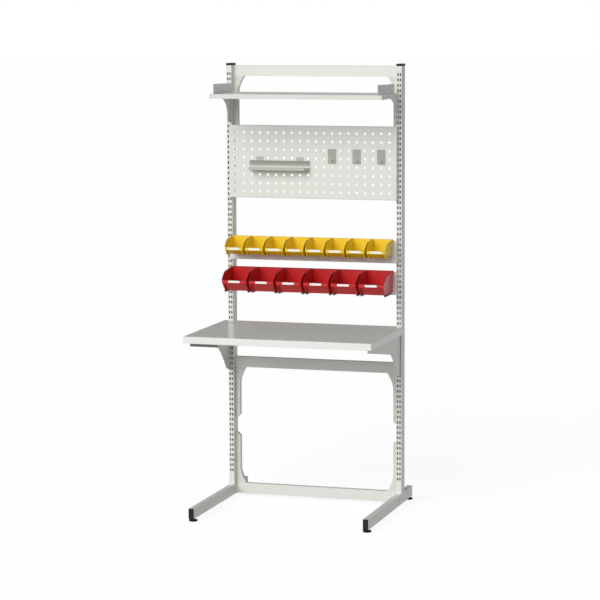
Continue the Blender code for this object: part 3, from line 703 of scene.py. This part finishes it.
def finished(name, work, finish, body, slot, *nodes):
    """Makes the piece of this bmesh, which rides on its body and stands for the nodes."""
    narrow = []
    for face in work.faces:
        longest = max(edge.calc_length() for edge in face.edges)
        narrow.append(face.calc_area() < WIDEST_SMOOTH * longest)
    mesh = bpy.data.meshes.new(name)
    work.to_mesh(mesh)
    work.free()
    mesh.materials.clear()
    mesh.materials.append(finish)
    mesh.set_sharp_from_angle(angle=math.radians(SHARP_ANGLE))
    mesh.polygons.foreach_set("use_smooth", narrow)
    made = bpy.data.objects.new(name, mesh)
    bpy.context.scene.collection.objects.link(made)
    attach(made, body)
    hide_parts(*nodes)


def welded_copy(node):
    """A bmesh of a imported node, its doubles merged and its flat faces whole."""
    work = work_from(frame["nodes"][node].data)
    bmesh.ops.remove_doubles(work, verts=work.verts, dist=WELD)
    bmesh.ops.dissolve_limit(
        work,
        angle_limit=math.radians(FLAT_ANGLE),
        verts=work.verts,
        edges=work.edges,
    )
    return work


def make_tube(node, length_axis):
    """An upright or a foot beam with the rounded corners of a drawn tube."""
    low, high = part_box(node)
    work = welded_copy(node)

    def is_corner(edge):
        start, end = (vert.co for vert in edge.verts)
        if abs((end - start)[length_axis]) < (high - low)[length_axis] / 2:
            return False
        across = [axis for axis in range(3) if axis != length_axis]
        return all(
            min(abs(start[axis] - low[axis]), abs(start[axis] - high[axis])) < WELD for axis in across
        )

    rounded(work, [edge for edge in work.edges if is_corner(edge)], TUBE_CORNER, CORNER_STEPS)
    finished(f"{node}_tube", work, FINISHES["frame_paint"], "bench", "frame_paint", node)


def make_sheet_piece(node, finish):
    """A rail or a bracket with the cut edges of its sheet broken."""
    work = welded_copy(node)
    edges = [
        edge
        for edge in work.edges
        if edge.is_manifold
        and edge.calc_face_angle() > math.radians(CUT_ANGLE)
        and edge.calc_length() > SHORTEST_CUT
    ]
    rounded(work, edges, EDGE_ROUNDING)
    finished(f"{node}_sheet", work, finish, "bench", "frame_paint", node)


def make_rail(node, outer):
    """A cross rail: its sheet with wings and gussets in the frame paint a shade darker, as painted
    shade, and the band along its outer edge in front in the plain frame paint.
    """
    make_sheet_piece(node, RAIL_PAINTED_SHADE_FINISH)
    low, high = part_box(node)
    bottom, top = (high.z - RAIL_BAND, high.z) if outer == "top" else (low.z, low.z + RAIL_BAND)
    band = bmesh.new()
    front, back = low.y - RAIL_BAND_PROUD, low.y + RAIL_BAND_PROUD
    add_block(band, (low.x, front, bottom), (high.x, back, top), EDGE_ROUNDING)
    finished(f"{node}_band", band, FINISHES["frame_paint"], "bench", "frame_paint", node)


def make_bracket_painted_shade_strip(side):
    """A dark strip on the inside of a worktop bracket, along its lower edge from nose to knee: painted
    shade where the worktop shades the bracket.
    """
    node = f"{side}_worktop_bracket"
    low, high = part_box(node)
    outward = -1 if side == "left" else 1
    plate_x = (low.x if side == "left" else high.x) - outward * BRACKET_SHEET
    nose_y = low.y
    knee_y = UPRIGHT_FRONT - KNEE_REACH
    corners = [vert.co for vert in frame["nodes"][node].data.vertices]
    nose_z = min(corner.z for corner in corners if corner.y < nose_y + STRIP_SHEET)
    knee_z = min(corner.z for corner in corners if corner.y < knee_y + STRIP_SHEET)
    outline = [
        (plate_x, nose_y, nose_z),
        (plate_x, knee_y, knee_z),
        (plate_x, knee_y, knee_z + STRIP_HEIGHT),
        (plate_x, nose_y, nose_z + STRIP_HEIGHT),
    ]
    work = bmesh.new()
    add_plate(work, outline, (-outward * STRIP_SHEET, 0, 0), 0, EDGE_ROUNDING)
    # The strip's dark tone is painted shade under the worktop, though it is passed the black plastic
    # slot
    finished(f"{side}_bracket_painted_shade_strip", work, PAINTED_SHADE_STRIP_FINISH, "bench", "black_plastic")


def make_foot(node):
    """A levelling foot: a moulded pad, a hexagon and a threaded stud."""
    low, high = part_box(node)
    x, y = (low.x + high.x) / 2, (low.y + high.y) / 2
    floor = low.z
    work = bmesh.new()
    pad = [(share * PAD_RADIUS, floor + rise * PAD_THICKNESS) for share, rise in PAD_PROFILE_SHARES]
    add_turned(work, pad, x, y, PAD_SIDES)
    collar_base = floor + PAD_THICKNESS
    collar_top = floor + COLLAR_TOP
    collar = bmesh.new()
    bmesh.ops.create_cone(
        collar,
        cap_ends=True,
        segments=COLLAR_SIDES,
        radius1=COLLAR_RADIUS,
        radius2=COLLAR_RADIUS,
        depth=collar_top - collar_base,
        matrix=Matrix.Translation((x, y, (collar_top + collar_base) / 2)),
    )
    rounded(collar, collar.edges[:], COLLAR_ROUNDING)
    add_work(work, collar)
    thread = [(0, collar_top)]
    turns = int((high.z - collar_top) / THREAD_PITCH)
    for turn in range(turns):
        base = collar_top + turn * THREAD_PITCH
        thread.append((STUD_RADIUS - THREAD_DEPTH, base))
        thread.append((STUD_RADIUS, base + THREAD_PITCH / 2))
    thread += [(STUD_RADIUS - THREAD_DEPTH, high.z), (0, high.z)]
    add_turned(work, thread, x, y, STUD_SIDES)
    black = FINISHES["black_plastic"]
    finished(f"{node}_moulding", work, black, f"{node}_body", "black_plastic", node)


def make_upright_cap(side):
    """A cap whose head stands a little over its tube, with its plug inside."""
    low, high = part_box(f"{side}_upright")
    node = f"{side}_upright_cap"
    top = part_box(node)[1].z
    over = Vector((CAP_OVERHANG, CAP_OVERHANG, 0))
    work = bmesh.new()
    head_low = Vector((low.x, low.y, high.z + SEAT_GAP)) - over
    head_high = Vector((high.x, high.y, top)) + over
    add_block(work, head_low, head_high, CAP_ROUNDING, MOULDED_STEPS)
    wall = Vector((CAP_PLUG_WALL, CAP_PLUG_WALL, 0))
    plug_low = Vector((low.x, low.y, high.z - CAP_PLUG_DEPTH)) + wall
    plug_high = Vector((high.x, high.y, high.z + CAP_PLUG_RISE)) - wall
    add_block(work, plug_low, plug_high, CAP_PLUG_ROUNDING)
    finished(f"{node}_moulding", work, FINISHES["black_plastic"], "bench", "black_plastic", node)


def make_shelf():
    """The shelf's pan of folded sheet and its two end guards."""
    low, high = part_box("top_shelf")
    top = high.z - GUARD_FRONT_RISE
    pan = folded_pan(low, (high.x, high.y, top), [DOWNWARDS, BACKWARDS], SHELF_SHEET, SHELF_BEND)
    finished("top_shelf_pan", pan, FINISHES["frame_paint"], "bench", "frame_paint", "top_shelf")
    front, rear = low.y + GUARD_END_INSET, high.y - GUARD_END_INSET
    make_guard("left", low.x + GUARD_INSET, -1, front, rear, top)
    make_guard("right", high.x - GUARD_INSET, 1, front, rear, top)


def make_guard(side, x, outward, front, rear, top):
    """An end guard of the shelf, and a thin plate on the outside of its rear part."""
    left_x = x - SHELF_SHEET / 2
    outline = [
        (left_x, front, top - SHELF_SHEET / 2),
        (left_x, rear, top - SHELF_SHEET / 2),
        (left_x, rear, top + GUARD_REAR_RISE),
        (left_x, front, top + GUARD_FRONT_RISE),
    ]
    guard = bmesh.new()
    add_plate(guard, outline, (SHELF_SHEET, 0, 0), GUARD_CORNER, EDGE_ROUNDING)
    finished(f"{side}_shelf_guard", guard, GUARD_FINISH, "bench", "frame_paint", "top_shelf")
    face_x = x + outward * SHELF_SHEET / 2
    plate_front = rear - DOUBLER_LENGTH
    slope = (GUARD_FRONT_RISE - GUARD_REAR_RISE) / (rear - front)
    edge_z = top + GUARD_REAR_RISE - DOUBLER_SHEET
    outline = [
        (face_x, plate_front, top),
        (face_x, rear, top),
        (face_x, rear, edge_z),
        (face_x, plate_front, edge_z + slope * DOUBLER_LENGTH),
    ]
    plate = bmesh.new()
    add_plate(plate, outline, (outward * DOUBLER_SHEET, 0, 0), GUARD_CORNER / 2, FINE_ROUNDING)
    paint = FINISHES["frame_paint"]
    finished(f"{side}_shelf_guard_doubler", plate, paint, "bench", "frame_paint", "top_shelf")


def add_slot_hooks(work, node, rise_shares):
    """The hooks that hang a folded sheet in the slots, at these shares of its height."""
    low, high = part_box(node)
    root = UPRIGHT_FRONT - SLOT_HOOK_ROOT
    inside = UPRIGHT_FRONT + SLOT_HOOK_GAP
    tip = inside + SLOT_HOOK_LIP
    for share in rise_shares:
        z = low.z + (high.z - low.z) * share
        for middle_x in (low.x + PANEL_SHEET / 2, high.x - PANEL_SHEET / 2):
            x = middle_x - SLOT_HOOK_SHEET / 2
            outline = [
                (x, root, z),
                (x, inside, z),
                (x, inside, z - SLOT_HOOK_DROP),
                (x, tip, z - SLOT_HOOK_DROP),
                (x, tip, z + SLOT_HOOK_RISE),
                (x, root, z + SLOT_HOOK_RISE),
            ]
            add_plate(work, outline, (SLOT_HOOK_SHEET, 0, 0), 0, FINE_ROUNDING)


def hole_place(column, row):
    """The middle of a panel hole in x and z, counted from the upper left."""
    low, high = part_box("perforated_panel")
    x = (low.x + high.x) / 2 + (column - (HOLE_COLUMNS - 1) / 2) * HOLE_PITCH
    return x, high.z - FIRST_HOLE_DROP - row * HOLE_PITCH


def make_panel():
    """The panel: a folded pan with its field of round holes."""
    low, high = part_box("perforated_panel")
    rear = UPRIGHT_FRONT - SEAT_GAP
    work = folded_pan(low, (high.x, rear, high.z), [BACKWARDS], PANEL_SHEET, PANEL_BEND)
    cutters = bmesh.new()
    for column in range(HOLE_COLUMNS):
        for row in range(HOLE_ROWS):
            x, z = hole_place(column, row)
            bmesh.ops.create_cone(
                cutters,
                cap_ends=True,
                segments=HOLE_SIDES,
                radius1=HOLE_DIAMETER / 2,
                radius2=HOLE_DIAMETER / 2,
                depth=HOLE_CUTTER_LENGTH,
                matrix=Matrix.Translation((x, HANG_Y, z)) @ Matrix.Rotation(math.pi / 2, 4, "X"),
            )
    work = pierced(work, cutters)
    add_slot_hooks(work, "perforated_panel", PANEL_HOOK_SHARES)
    paint = FINISHES["panel_paint"]
    finished("perforated_panel_sheet", work, paint, "bench", "panel_paint", "perforated_panel")


def make_bin_rail(node):
    """A rail for bins: a sheet folded back along its ends and its lower edge."""
    low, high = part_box(node)
    rear = UPRIGHT_FRONT - SEAT_GAP
    work = folded_pan(low, (high.x, rear, high.z), [BACKWARDS, UPWARDS], PANEL_SHEET, PANEL_BEND)
    add_slot_hooks(work, node, BIN_RAIL_HOOK_SHARES)
    finished(f"{node}_sheet", work, FINISHES["panel_paint"], "bench", "panel_paint", node)


def add_peg(work, column, row):
    """A peg that rests on the lower edge of its panel hole."""
    x, z = hole_place(column, row)
    z -= (HOLE_DIAMETER - PEG_DIAMETER) / 2 - SEAT_GAP
    tip = HANG_Y + PANEL_SHEET + PEG_REACH
    add_rod(work, [(x, HOLDER_Y - HOLDER_SHEET / 2, z), (x, tip, z)], PEG_DIAMETER)


def add_holder_plate(work, x, top, width):
    """A strap with rounded corners that lies on the panel."""
    y = HOLDER_Y - HOLDER_SHEET
    outline = rectangle(x - width / 2, x + width / 2, y, top - STRAP_LENGTH, top)
    add_plate(work, outline, (0, HOLDER_SHEET, 0), STRAP_CORNER, STRAP_ROUNDING)


def make_tray():
    """The tool tray: a sheet that curves from its back into its floor, on two straps with pegs."""
    low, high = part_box("tool_tray")
    front, back = low.y, HOLDER_Y - HOLDER_SHEET / 2
    floor_z = hole_place(TRAY_COLUMNS[0], TRAY_ROWS[0])[1] - TRAY_FLOOR_DROP
    lip_z, top_z = floor_z + TRAY_FRONT_RISE, floor_z + TRAY_REAR_RISE
    fold = quadratic(
        (front, floor_z + HOLDER_BEND),
        (front, floor_z),
        (front + HOLDER_BEND, floor_z),
        CURVE_STEPS // 2,
    )
    sweep = quadratic(
        (back - TRAY_CURVE, floor_z), (back, floor_z), (back, floor_z + TRAY_CURVE), CURVE_STEPS
    )
    profile = [(front, lip_z), *fold, *sweep, (back, top_z)]

    def at_left(points):
        taper = TRAY_FRONT_TAPER / (back - front)
        return [(low.x + taper * (back - y), y, z) for y, z in points]

    def mirrored_x(x):
        return low.x + high.x - x

    work = bmesh.new()
    verts = [work.verts.new(point) for point in at_left(profile)]
    edges = [work.edges.new(pair) for pair in zip(verts, verts[1:])]
    grown = bmesh.ops.extrude_edge_only(work, edges=edges)["geom"]
    for vert in (part for part in grown if isinstance(part, bmesh.types.BMVert)):
        vert.co.x = mirrored_x(vert.co.x)
    turned_down(work, min(work.faces, key=lambda face: face.calc_center_median().z))
    work = thickened(work, HOLDER_SHEET)
    low_sweep = [point for point in sweep if point[1] < lip_z]
    end = at_left([(front, lip_z), *fold, *low_sweep, (back, lip_z)])
    add_plate(work, end, (HOLDER_SHEET, 0, 0), 0, FINE_ROUNDING)
    other_end = [(mirrored_x(x), y, z) for x, y, z in end]
    add_plate(work, other_end, (-HOLDER_SHEET, 0, 0), 0, FINE_ROUNDING)
    # The tray's tone runs from painted shade at its top to painted light at its foot
    steel = steel_with_painted_shade("tray_painted_shade_finish", TRAY_PAINTED_SHADE_TONE, TRAY_PAINTED_LIGHT_TONE, floor_z, top_z)
    finished("tool_tray_sheet", work, steel, "tool_tray_body", "holder_steel", "tool_tray")
    straps = bmesh.new()
    for column in TRAY_COLUMNS:
        x, z = hole_place(column, TRAY_ROWS[0])
        add_holder_plate(straps, x, z + STRAP_TOP_RISE, STRAP_WIDTH)
        for row in TRAY_ROWS:
            add_peg(straps, column, row)
    finished("tool_tray_straps", straps, STRAP_FINISH, "tool_tray_body", "holder_steel", "tool_tray")


def turned_down(work, floor):
    """Turns the faces of an open surface so that its floor faces down."""
    bmesh.ops.recalc_face_normals(work, faces=work.faces)
    floor.normal_update()
    if floor.normal.z > 0:
        bmesh.ops.reverse_faces(work, faces=work.faces)


def make_tool_hook(number, column):
    """A tool hook: a plate on two pegs with a prong that turns up at its tip."""
    x, z = hole_place(column, HOOK_ROWS[0])
    top = z + STRAP_TOP_RISE
    plate = bmesh.new()
    add_holder_plate(plate, x, top, HOOK_WIDTH)
    for row in HOOK_ROWS:
        add_peg(plate, column, row)
    prong_z = top - STRAP_LENGTH + PRONG_RISE
    tip_y = HOLDER_Y - HOLDER_SHEET - PRONG_REACH
    root = (x, HOLDER_Y - HOLDER_SHEET / 2, prong_z)
    bend = quadratic(
        (x, tip_y + PRONG_BEND, prong_z),
        (x, tip_y, prong_z),
        (x, tip_y, prong_z + PRONG_BEND),
        PRONG_BEND_STEPS,
    )
    tip = (x, tip_y, prong_z + PRONG_TIP_RISE)
    prong = bmesh.new()
    add_rod(prong, [root, *bend, tip], PRONG_DIAMETER)
    node, slot = f"tool_hook_{number}", "holder_steel"
    # The prong's paler steel is a painted highlight
    finished(f"{node}_prong", prong, PRONG_PAINTED_LIGHT_FINISH, f"{node}_body", slot, node)
    finished(f"{node}_plate", plate, FINISHES[slot], f"{node}_body", slot, node)


def towards(start, end, distance):
    """The point this far from start on the way to end."""
    return tuple(Vector(start) + (Vector(end) - Vector(start)).normalized() * distance)


def bin_side(size):
    """Outline in (y, z) of a bin's side. The rail's top edge lies at the origin."""
    back = -SEAT_GAP
    rim_corner = (back, size.rim)
    lip_top = (back - size.depth, -size.lip_drop)
    shoulder = (back - size.shoulder_reach, -size.shoulder_drop)
    return [
        rim_corner,
        (back, -size.height),
        (back - size.floor_reach, -size.height),
        (back - size.depth, -size.lip_drop - size.lip_height),
        lip_top,
        *quadratic(
            towards(shoulder, lip_top, size.shoulder_curve),
            shoulder,
            towards(shoulder, rim_corner, size.shoulder_curve),
            CURVE_STEPS,
        ),
    ]


def is_mouth(face, size):
    """Whether this face of the bin's prism stays open."""
    middle = face.calc_center_median()
    level = abs(face.normal.x) < abs(face.normal.z)
    return level and middle.z > -size.lip_drop and -size.depth < middle.y + SEAT_GAP < 0


def rim_points(work):
    """The points round the open rim of a surface, in order."""
    edges = {edge for edge in work.edges if len(edge.link_faces) == 1}
    edge = next(iter(sorted(edges, key=lambda rim: rim.index)))
    vert = edge.verts[0]
    points = []
    while edges:
        edges.discard(edge)
        points.append(vert.co.copy())
        vert = edge.other_vert(vert)
        following = [other for other in vert.link_edges if other in edges]
        if not following:
            break
        edge = following[0]
    return points


def bin_shell(size):
    """A bin with rounded corners and a recess under its lip. Returns it and the bead of its rim, which
    is given a darker tone as painted shade.
    """
    work = bmesh.new()
    side = work.faces.new([work.verts.new((-size.width / 2, y, z)) for y, z in bin_side(size)])
    drawn_out(work, side, (size.width, 0, 0))
    bmesh.ops.recalc_face_normals(work, faces=work.faces)
    work.normal_update()
    open_faces = [face for face in work.faces if is_mouth(face, size)]
    bmesh.ops.delete(work, geom=open_faces, context="FACES")
    corners = [
        edge
        for edge in work.edges
        if len(edge.link_faces) == 2 and edge.calc_face_angle() > math.radians(MOULDED_ANGLE)
    ]
    rounded(work, corners, BIN_CORNER, CORNER_STEPS)
    recess_under_lip(work, size)
    for vert in work.verts:
        below = (size.rim - vert.co.z) / (size.rim + size.height)
        ahead = (-SEAT_GAP - vert.co.y) / size.depth
        vert.co.x -= math.copysign(size.taper * below + size.draft * ahead, vert.co.x)
    floor = min(work.faces, key=lambda face: face.calc_center_median().z)
    turned_down(work, floor)
    work.edges.index_update()
    rim = rim_points(work)
    painted_shade_edging = bmesh.new()
    add_rod(painted_shade_edging, rim, RIM_DIAMETER, closed=True)
    return thickened(work, BIN_WALL), painted_shade_edging


def recess_under_lip(work, size):
    """Sets the slanting face under the lip back between two skids, more at its foot."""
    under_lip = -size.lip_drop - size.lip_height
    inner_x = size.width / 2 - RECESS_MARGIN
    upper_z = under_lip - RECESS_MARGIN / 2
    for step in (0, RECESS_STEP):
        for side in (-1, 1):
            cut_through(work, (side * (inner_x - step), 0, 0), (1, 0, 0))
        cut_through(work, (0, 0, upper_z - step), UPWARDS)
    front_y = BIN_CORNER - size.floor_reach
    for vert in work.verts:
        x, y, z = vert.co
        if abs(x) < inner_x - RECESS_STEP / 2 and y < front_y and z < upper_z - RECESS_STEP / 2:
            share = (under_lip - z) / (size.height + under_lip)
            vert.co.y += RECESS_TOP_DEPTH + (RECESS_LOW_DEPTH - RECESS_TOP_DEPTH) * share


def cut_through(work, place, normal):
    """Cuts every face where it crosses a plane."""
    bmesh.ops.bisect_plane(
        work,
        geom=work.verts[:] + work.edges[:] + work.faces[:],
        dist=WELD,
        plane_co=place,
        plane_no=normal,
    )


def add_bin_details(work, size):
    """The hook behind the rim and the label's holder on the lip."""
    root = -SEAT_GAP - BIN_WALL / 2
    tongue = PANEL_SHEET + SEAT_GAP
    half = (size.width - BIN_WALL) / 2
    outline = [
        (-half, root, SEAT_GAP),
        (-half, tongue, SEAT_GAP),
        (-half, tongue, -BIN_HOOK_DROP),
        (-half, tongue + BIN_WALL, -BIN_HOOK_DROP),
        (-half, tongue + BIN_WALL, size.rim),
        (-half, root, size.rim),
    ]
    add_plate(work, outline, (2 * half, 0, 0), 0, TONGUE_ROUNDING)
    face_y = -SEAT_GAP - size.depth
    middle_z = -size.lip_drop - size.lip_height / 2
    half_width, half_height = LABEL_WIDTH / 2 + WELD, LABEL_HEIGHT / 2 + WELD
    front, back = face_y - HOLDER_BAR_REACH, face_y + BIN_WALL / 2
    for side in (-1, 1):
        near, far = sorted((side * half_width, side * (half_width + HOLDER_BAR)))
        low = (near, front, middle_z - half_height - HOLDER_BAR)
        add_block(work, low, (far, back, middle_z + half_height), EDGE_ROUNDING)
    low = (-half_width, front, middle_z - half_height - HOLDER_BAR)
    add_block(work, low, (half_width, back, middle_z - half_height), EDGE_ROUNDING)


def add_bin_feet(work, size):
    """The feet under a bin's floor, one along each side, which are given a darker tone as painted
    shade.
    """
    outer = size.width / 2 - size.taper - size.draft - BIN_WALL / 2 + FOOT_OVERHANG
    foot_front = BIN_WALL - size.floor_reach
    for side in (-1, 1):
        near, far = sorted((side * outer, side * (outer - FOOT_WIDTH)))
        low = (near, foot_front, -size.height - size.foot_drop)
        high = (far, foot_front + size.foot_length, FOOT_RISE - size.height)
        add_block(work, low, high, FOOT_ROUNDING, MOULDED_STEPS)


def make_bins(color, count, size):
    """A row of bins with their labels."""
    moulding, painted_shade_edging = bin_shell(size)
    add_bin_details(moulding, size)
    add_bin_feet(painted_shade_edging, size)
    patterns = {}
    for part, work in (("moulding", moulding), ("painted_shade_edging", painted_shade_edging)):
        patterns[part] = bpy.data.meshes.new(f"bin_{part}")
        work.to_mesh(patterns[part])
        work.free()
    rail_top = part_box(f"{color}_bin_rail")[1].z
    for number in range(1, count + 1):
        node = f"{color}_bin_{number}"
        low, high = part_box(node)
        place = Vector(((low.x + high.x) / 2, HANG_Y, rail_top))
        body = f"{node}_body"
        slot = f"{color}_plastic"
        # The edging, rim bead and feet, takes a darker tone: painted shade
        for part, finish in (("moulding", FINISHES[slot]), ("painted_shade_edging", PAINTED_SHADE_EDGING_FINISHES[color])):
            work = work_from(patterns[part])
            bmesh.ops.translate(work, verts=work.verts, vec=place)
            finished(f"{node}_{part}", work, finish, body, slot, node)
        make_label(f"{color}_bin_label_{number}", body)


def make_label(node, body):
    """A card in its holder."""
    low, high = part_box(node)
    work = bmesh.new()
    outline = rectangle(low.x, high.x, high.y, low.z, high.z)
    add_plate(work, outline, (0, low.y - high.y, 0), LABEL_CORNER, LABEL_ROUNDING)
    finished(f"{node}_card", work, FINISHES["label_card"], body, "label_card", node)


def make_worktop():
    """The worktop: a laminate board with a light edge band round it."""
    low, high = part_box("worktop")
    band = folded_pan(low, high, [UPWARDS, DOWNWARDS], BAND_SHEET, BAND_CORNER)
    band.normal_update()
    rims = [
        edge
        for edge in band.edges
        if edge.is_manifold and edge.calc_face_angle() > math.radians(RIM_ANGLE)
    ]
    rounded(band, rims, BAND_ROUNDING, MOULDED_STEPS)
    finished("worktop_edge_band", band, BAND_FINISH, "bench", "worktop_laminate", "worktop")
    inset = Vector((BAND_SHEET, BAND_SHEET, 0)) * BOARD_INSET_SHARE
    board = bmesh.new()
    sunk = Vector((0, 0, BOARD_SUNK))
    add_block(board, low + inset + sunk, high - inset - sunk, FINE_ROUNDING)
    top = FINISHES["worktop_laminate"]
    finished("worktop_board", board, top, "bench", "worktop_laminate", "worktop")


def make_welds():
    """Beads of weld where the uprights stand on the foot beams."""
    for side in ("left", "right"):
        low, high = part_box(f"{side}_upright")
        start_x = low.x + TUBE_CORNER
        span = (high.x - low.x) - 2 * TUBE_CORNER
        work = bmesh.new()
        for y in (low.y, high.y):
            route = [
                (start_x + span * step / WELD_STEPS, y, low.z) for step in range(WELD_STEPS + 1)
            ]
            add_rod(work, route, WELD_BEAD, ripple=WELD_RIPPLE)
        finished(f"{side}_upright_weld", work, FINISHES["frame_paint"], "bench", "frame_paint")


def dress_nodes():
    """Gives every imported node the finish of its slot."""
    slots = {row["node"]: row["material_slot"] for row in frame["record"]["subparts"]}
    for name, node in frame["nodes"].items():
        node.data.materials.clear()
        node.data.materials.append(FINISHES[slots[name]])


def set_camera():
    """The camera, at the place, aim and lens read from the photo."""
    data = bpy.data.cameras.new("camera")
    data.lens = CAMERA_LENS
    data.sensor_width = CAMERA_SENSOR
    data.clip_end = CAMERA_REACH
    camera = bpy.data.objects.new("camera", data)
    bpy.context.scene.collection.objects.link(camera)
    yaw = math.radians(CAMERA_YAW)
    pitch = math.radians(CAMERA_PITCH)
    right = Vector((math.cos(yaw), math.sin(yaw), 0))
    level = Vector((-math.sin(yaw), math.cos(yaw), 0))
    ahead = level * math.cos(pitch) + DOWNWARDS * math.sin(pitch)
    turn = Matrix.Rotation(math.radians(CAMERA_ROLL), 3, -ahead)
    up = turn @ right.cross(ahead)
    right = turn @ right
    axes = Matrix((right, up, -ahead)).transposed()
    camera.matrix_world = Matrix.Translation(CAMERA_PLACE) @ axes.to_4x4()
    bpy.context.scene.camera = camera


def stage_object(name, work, finish):
    """A thing of the studio, which is no part of the bench."""
    mesh = bpy.data.meshes.new(name)
    work.to_mesh(mesh)
    work.free()
    mesh.materials.append(finish.material)
    made = bpy.data.objects.new(name, mesh)
    bpy.context.scene.collection.objects.link(made)
    return made


def set_stage():
    """A pale floor that glows a little, in front of a white backdrop."""
    floor_finish = Finish("studio_floor", Roughness=0.9, Specular_IOR_Level=0.0)
    cloud = floor_finish.noise(scale=0.5, detail=2)
    floor_finish.set(
        Base_Color=floor_finish.blend(cloud, *FLOOR_TONES),
        Emission_Color=(1, 1, 1),
        Emission_Strength=FLOOR_GLOW,
    )
    ground = bmesh.new()
    bmesh.ops.create_circle(ground, cap_ends=True, segments=FLOOR_SIDES, radius=STUDIO_RADIUS)
    floor = stage_object("studio_floor", ground, floor_finish)
    floor.visible_diffuse = False

    backdrop_finish = Finish("studio_backdrop", Base_Color=(0, 0, 0), Emission_Color=(1, 1, 1))
    backdrop_finish.set(Emission_Strength=1.0, Specular_IOR_Level=0.0)
    shell = bmesh.new()
    bmesh.ops.create_uvsphere(
        shell,
        u_segments=2 * BACKDROP_RINGS,
        v_segments=BACKDROP_RINGS,
        radius=STUDIO_RADIUS - BACKDROP_GAP,
    )
    bmesh.ops.reverse_faces(shell, faces=shell.faces)
    backdrop = stage_object("studio_backdrop", shell, backdrop_finish)
    for kind in ("diffuse", "glossy", "transmission", "volume_scatter", "shadow"):
        setattr(backdrop, f"visible_{kind}", False)


def set_lights():
    """A soft key light from the front left, in a room that is brightest at eye level."""
    scene = bpy.context.scene
    scene.view_settings.view_transform = "Standard"
    key = bpy.data.lights.new("key_light", "SUN")
    key.energy = KEY_ENERGY
    key.angle = math.radians(KEY_ANGLE)
    lamp = bpy.data.objects.new("key_light", key)
    scene.collection.objects.link(lamp)
    azimuth, height = math.radians(KEY_AZIMUTH), math.radians(KEY_HEIGHT)
    ahead = math.cos(height)
    source = Vector((math.sin(azimuth) * ahead, -math.cos(azimuth) * ahead, math.sin(height)))
    lamp.rotation_mode = "QUATERNION"
    lamp.rotation_quaternion = source.to_track_quat("Z", "Y")

    world = bpy.data.worlds.new("studio")
    scene.world = world
    world.use_nodes = True
    room = NodeTree(world.node_tree)
    direction = room.node("ShaderNodeTexCoord", output="Generated")
    upward = room.node("ShaderNodeSeparateXYZ", {}, {"Vector": direction}, "Z")
    dimmed = {"Value": upward.beside("Y"), **REAR_DIMMING}
    behind = room.node("ShaderNodeMapRange", {"interpolation_type": "SMOOTHSTEP"}, dimmed)
    stops = [(place, shaded(ROOM_TINT, light)) for place, light in ROOM_LIGHT]
    glow = room.node("ShaderNodeValToRGB", {"stops": stops}, {"Fac": upward * 0.5 + 0.5})
    background = world.node_tree.nodes["Background"]
    room.feed(background.inputs["Color"], glow)
    room.feed(background.inputs["Strength"], behind)


dress_nodes()
set_camera()
set_stage()
set_lights()
for side_name in ("left", "right"):
    make_tube(f"{side_name}_upright", length_axis=2)
    make_upright_cap(side_name)
    make_tube(f"{side_name}_foot_beam", length_axis=1)
    make_sheet_piece(f"{side_name}_shelf_bracket", FINISHES["frame_paint"])
    make_sheet_piece(f"{side_name}_worktop_bracket", FINISHES["frame_paint"])
    for end_name in ("front", "rear"):
        make_foot(f"{side_name}_{end_name}_levelling_foot")
    make_bracket_painted_shade_strip(side_name)
make_rail("top_rail", "top")
make_rail("worktop_rail", "top")
make_rail("bottom_rail", "bottom")
make_welds()
make_shelf()
make_panel()
make_tray()
for hook_number, hook_column in enumerate(HOOK_COLUMNS, 1):
    make_tool_hook(hook_number, hook_column)
for bin_color, bin_count, bin_size in (("yellow", 8, YELLOW_SIZE), ("red", 6, RED_SIZE)):
    make_bin_rail(f"{bin_color}_bin_rail")
    make_bins(bin_color, bin_count, bin_size)
make_worktop()
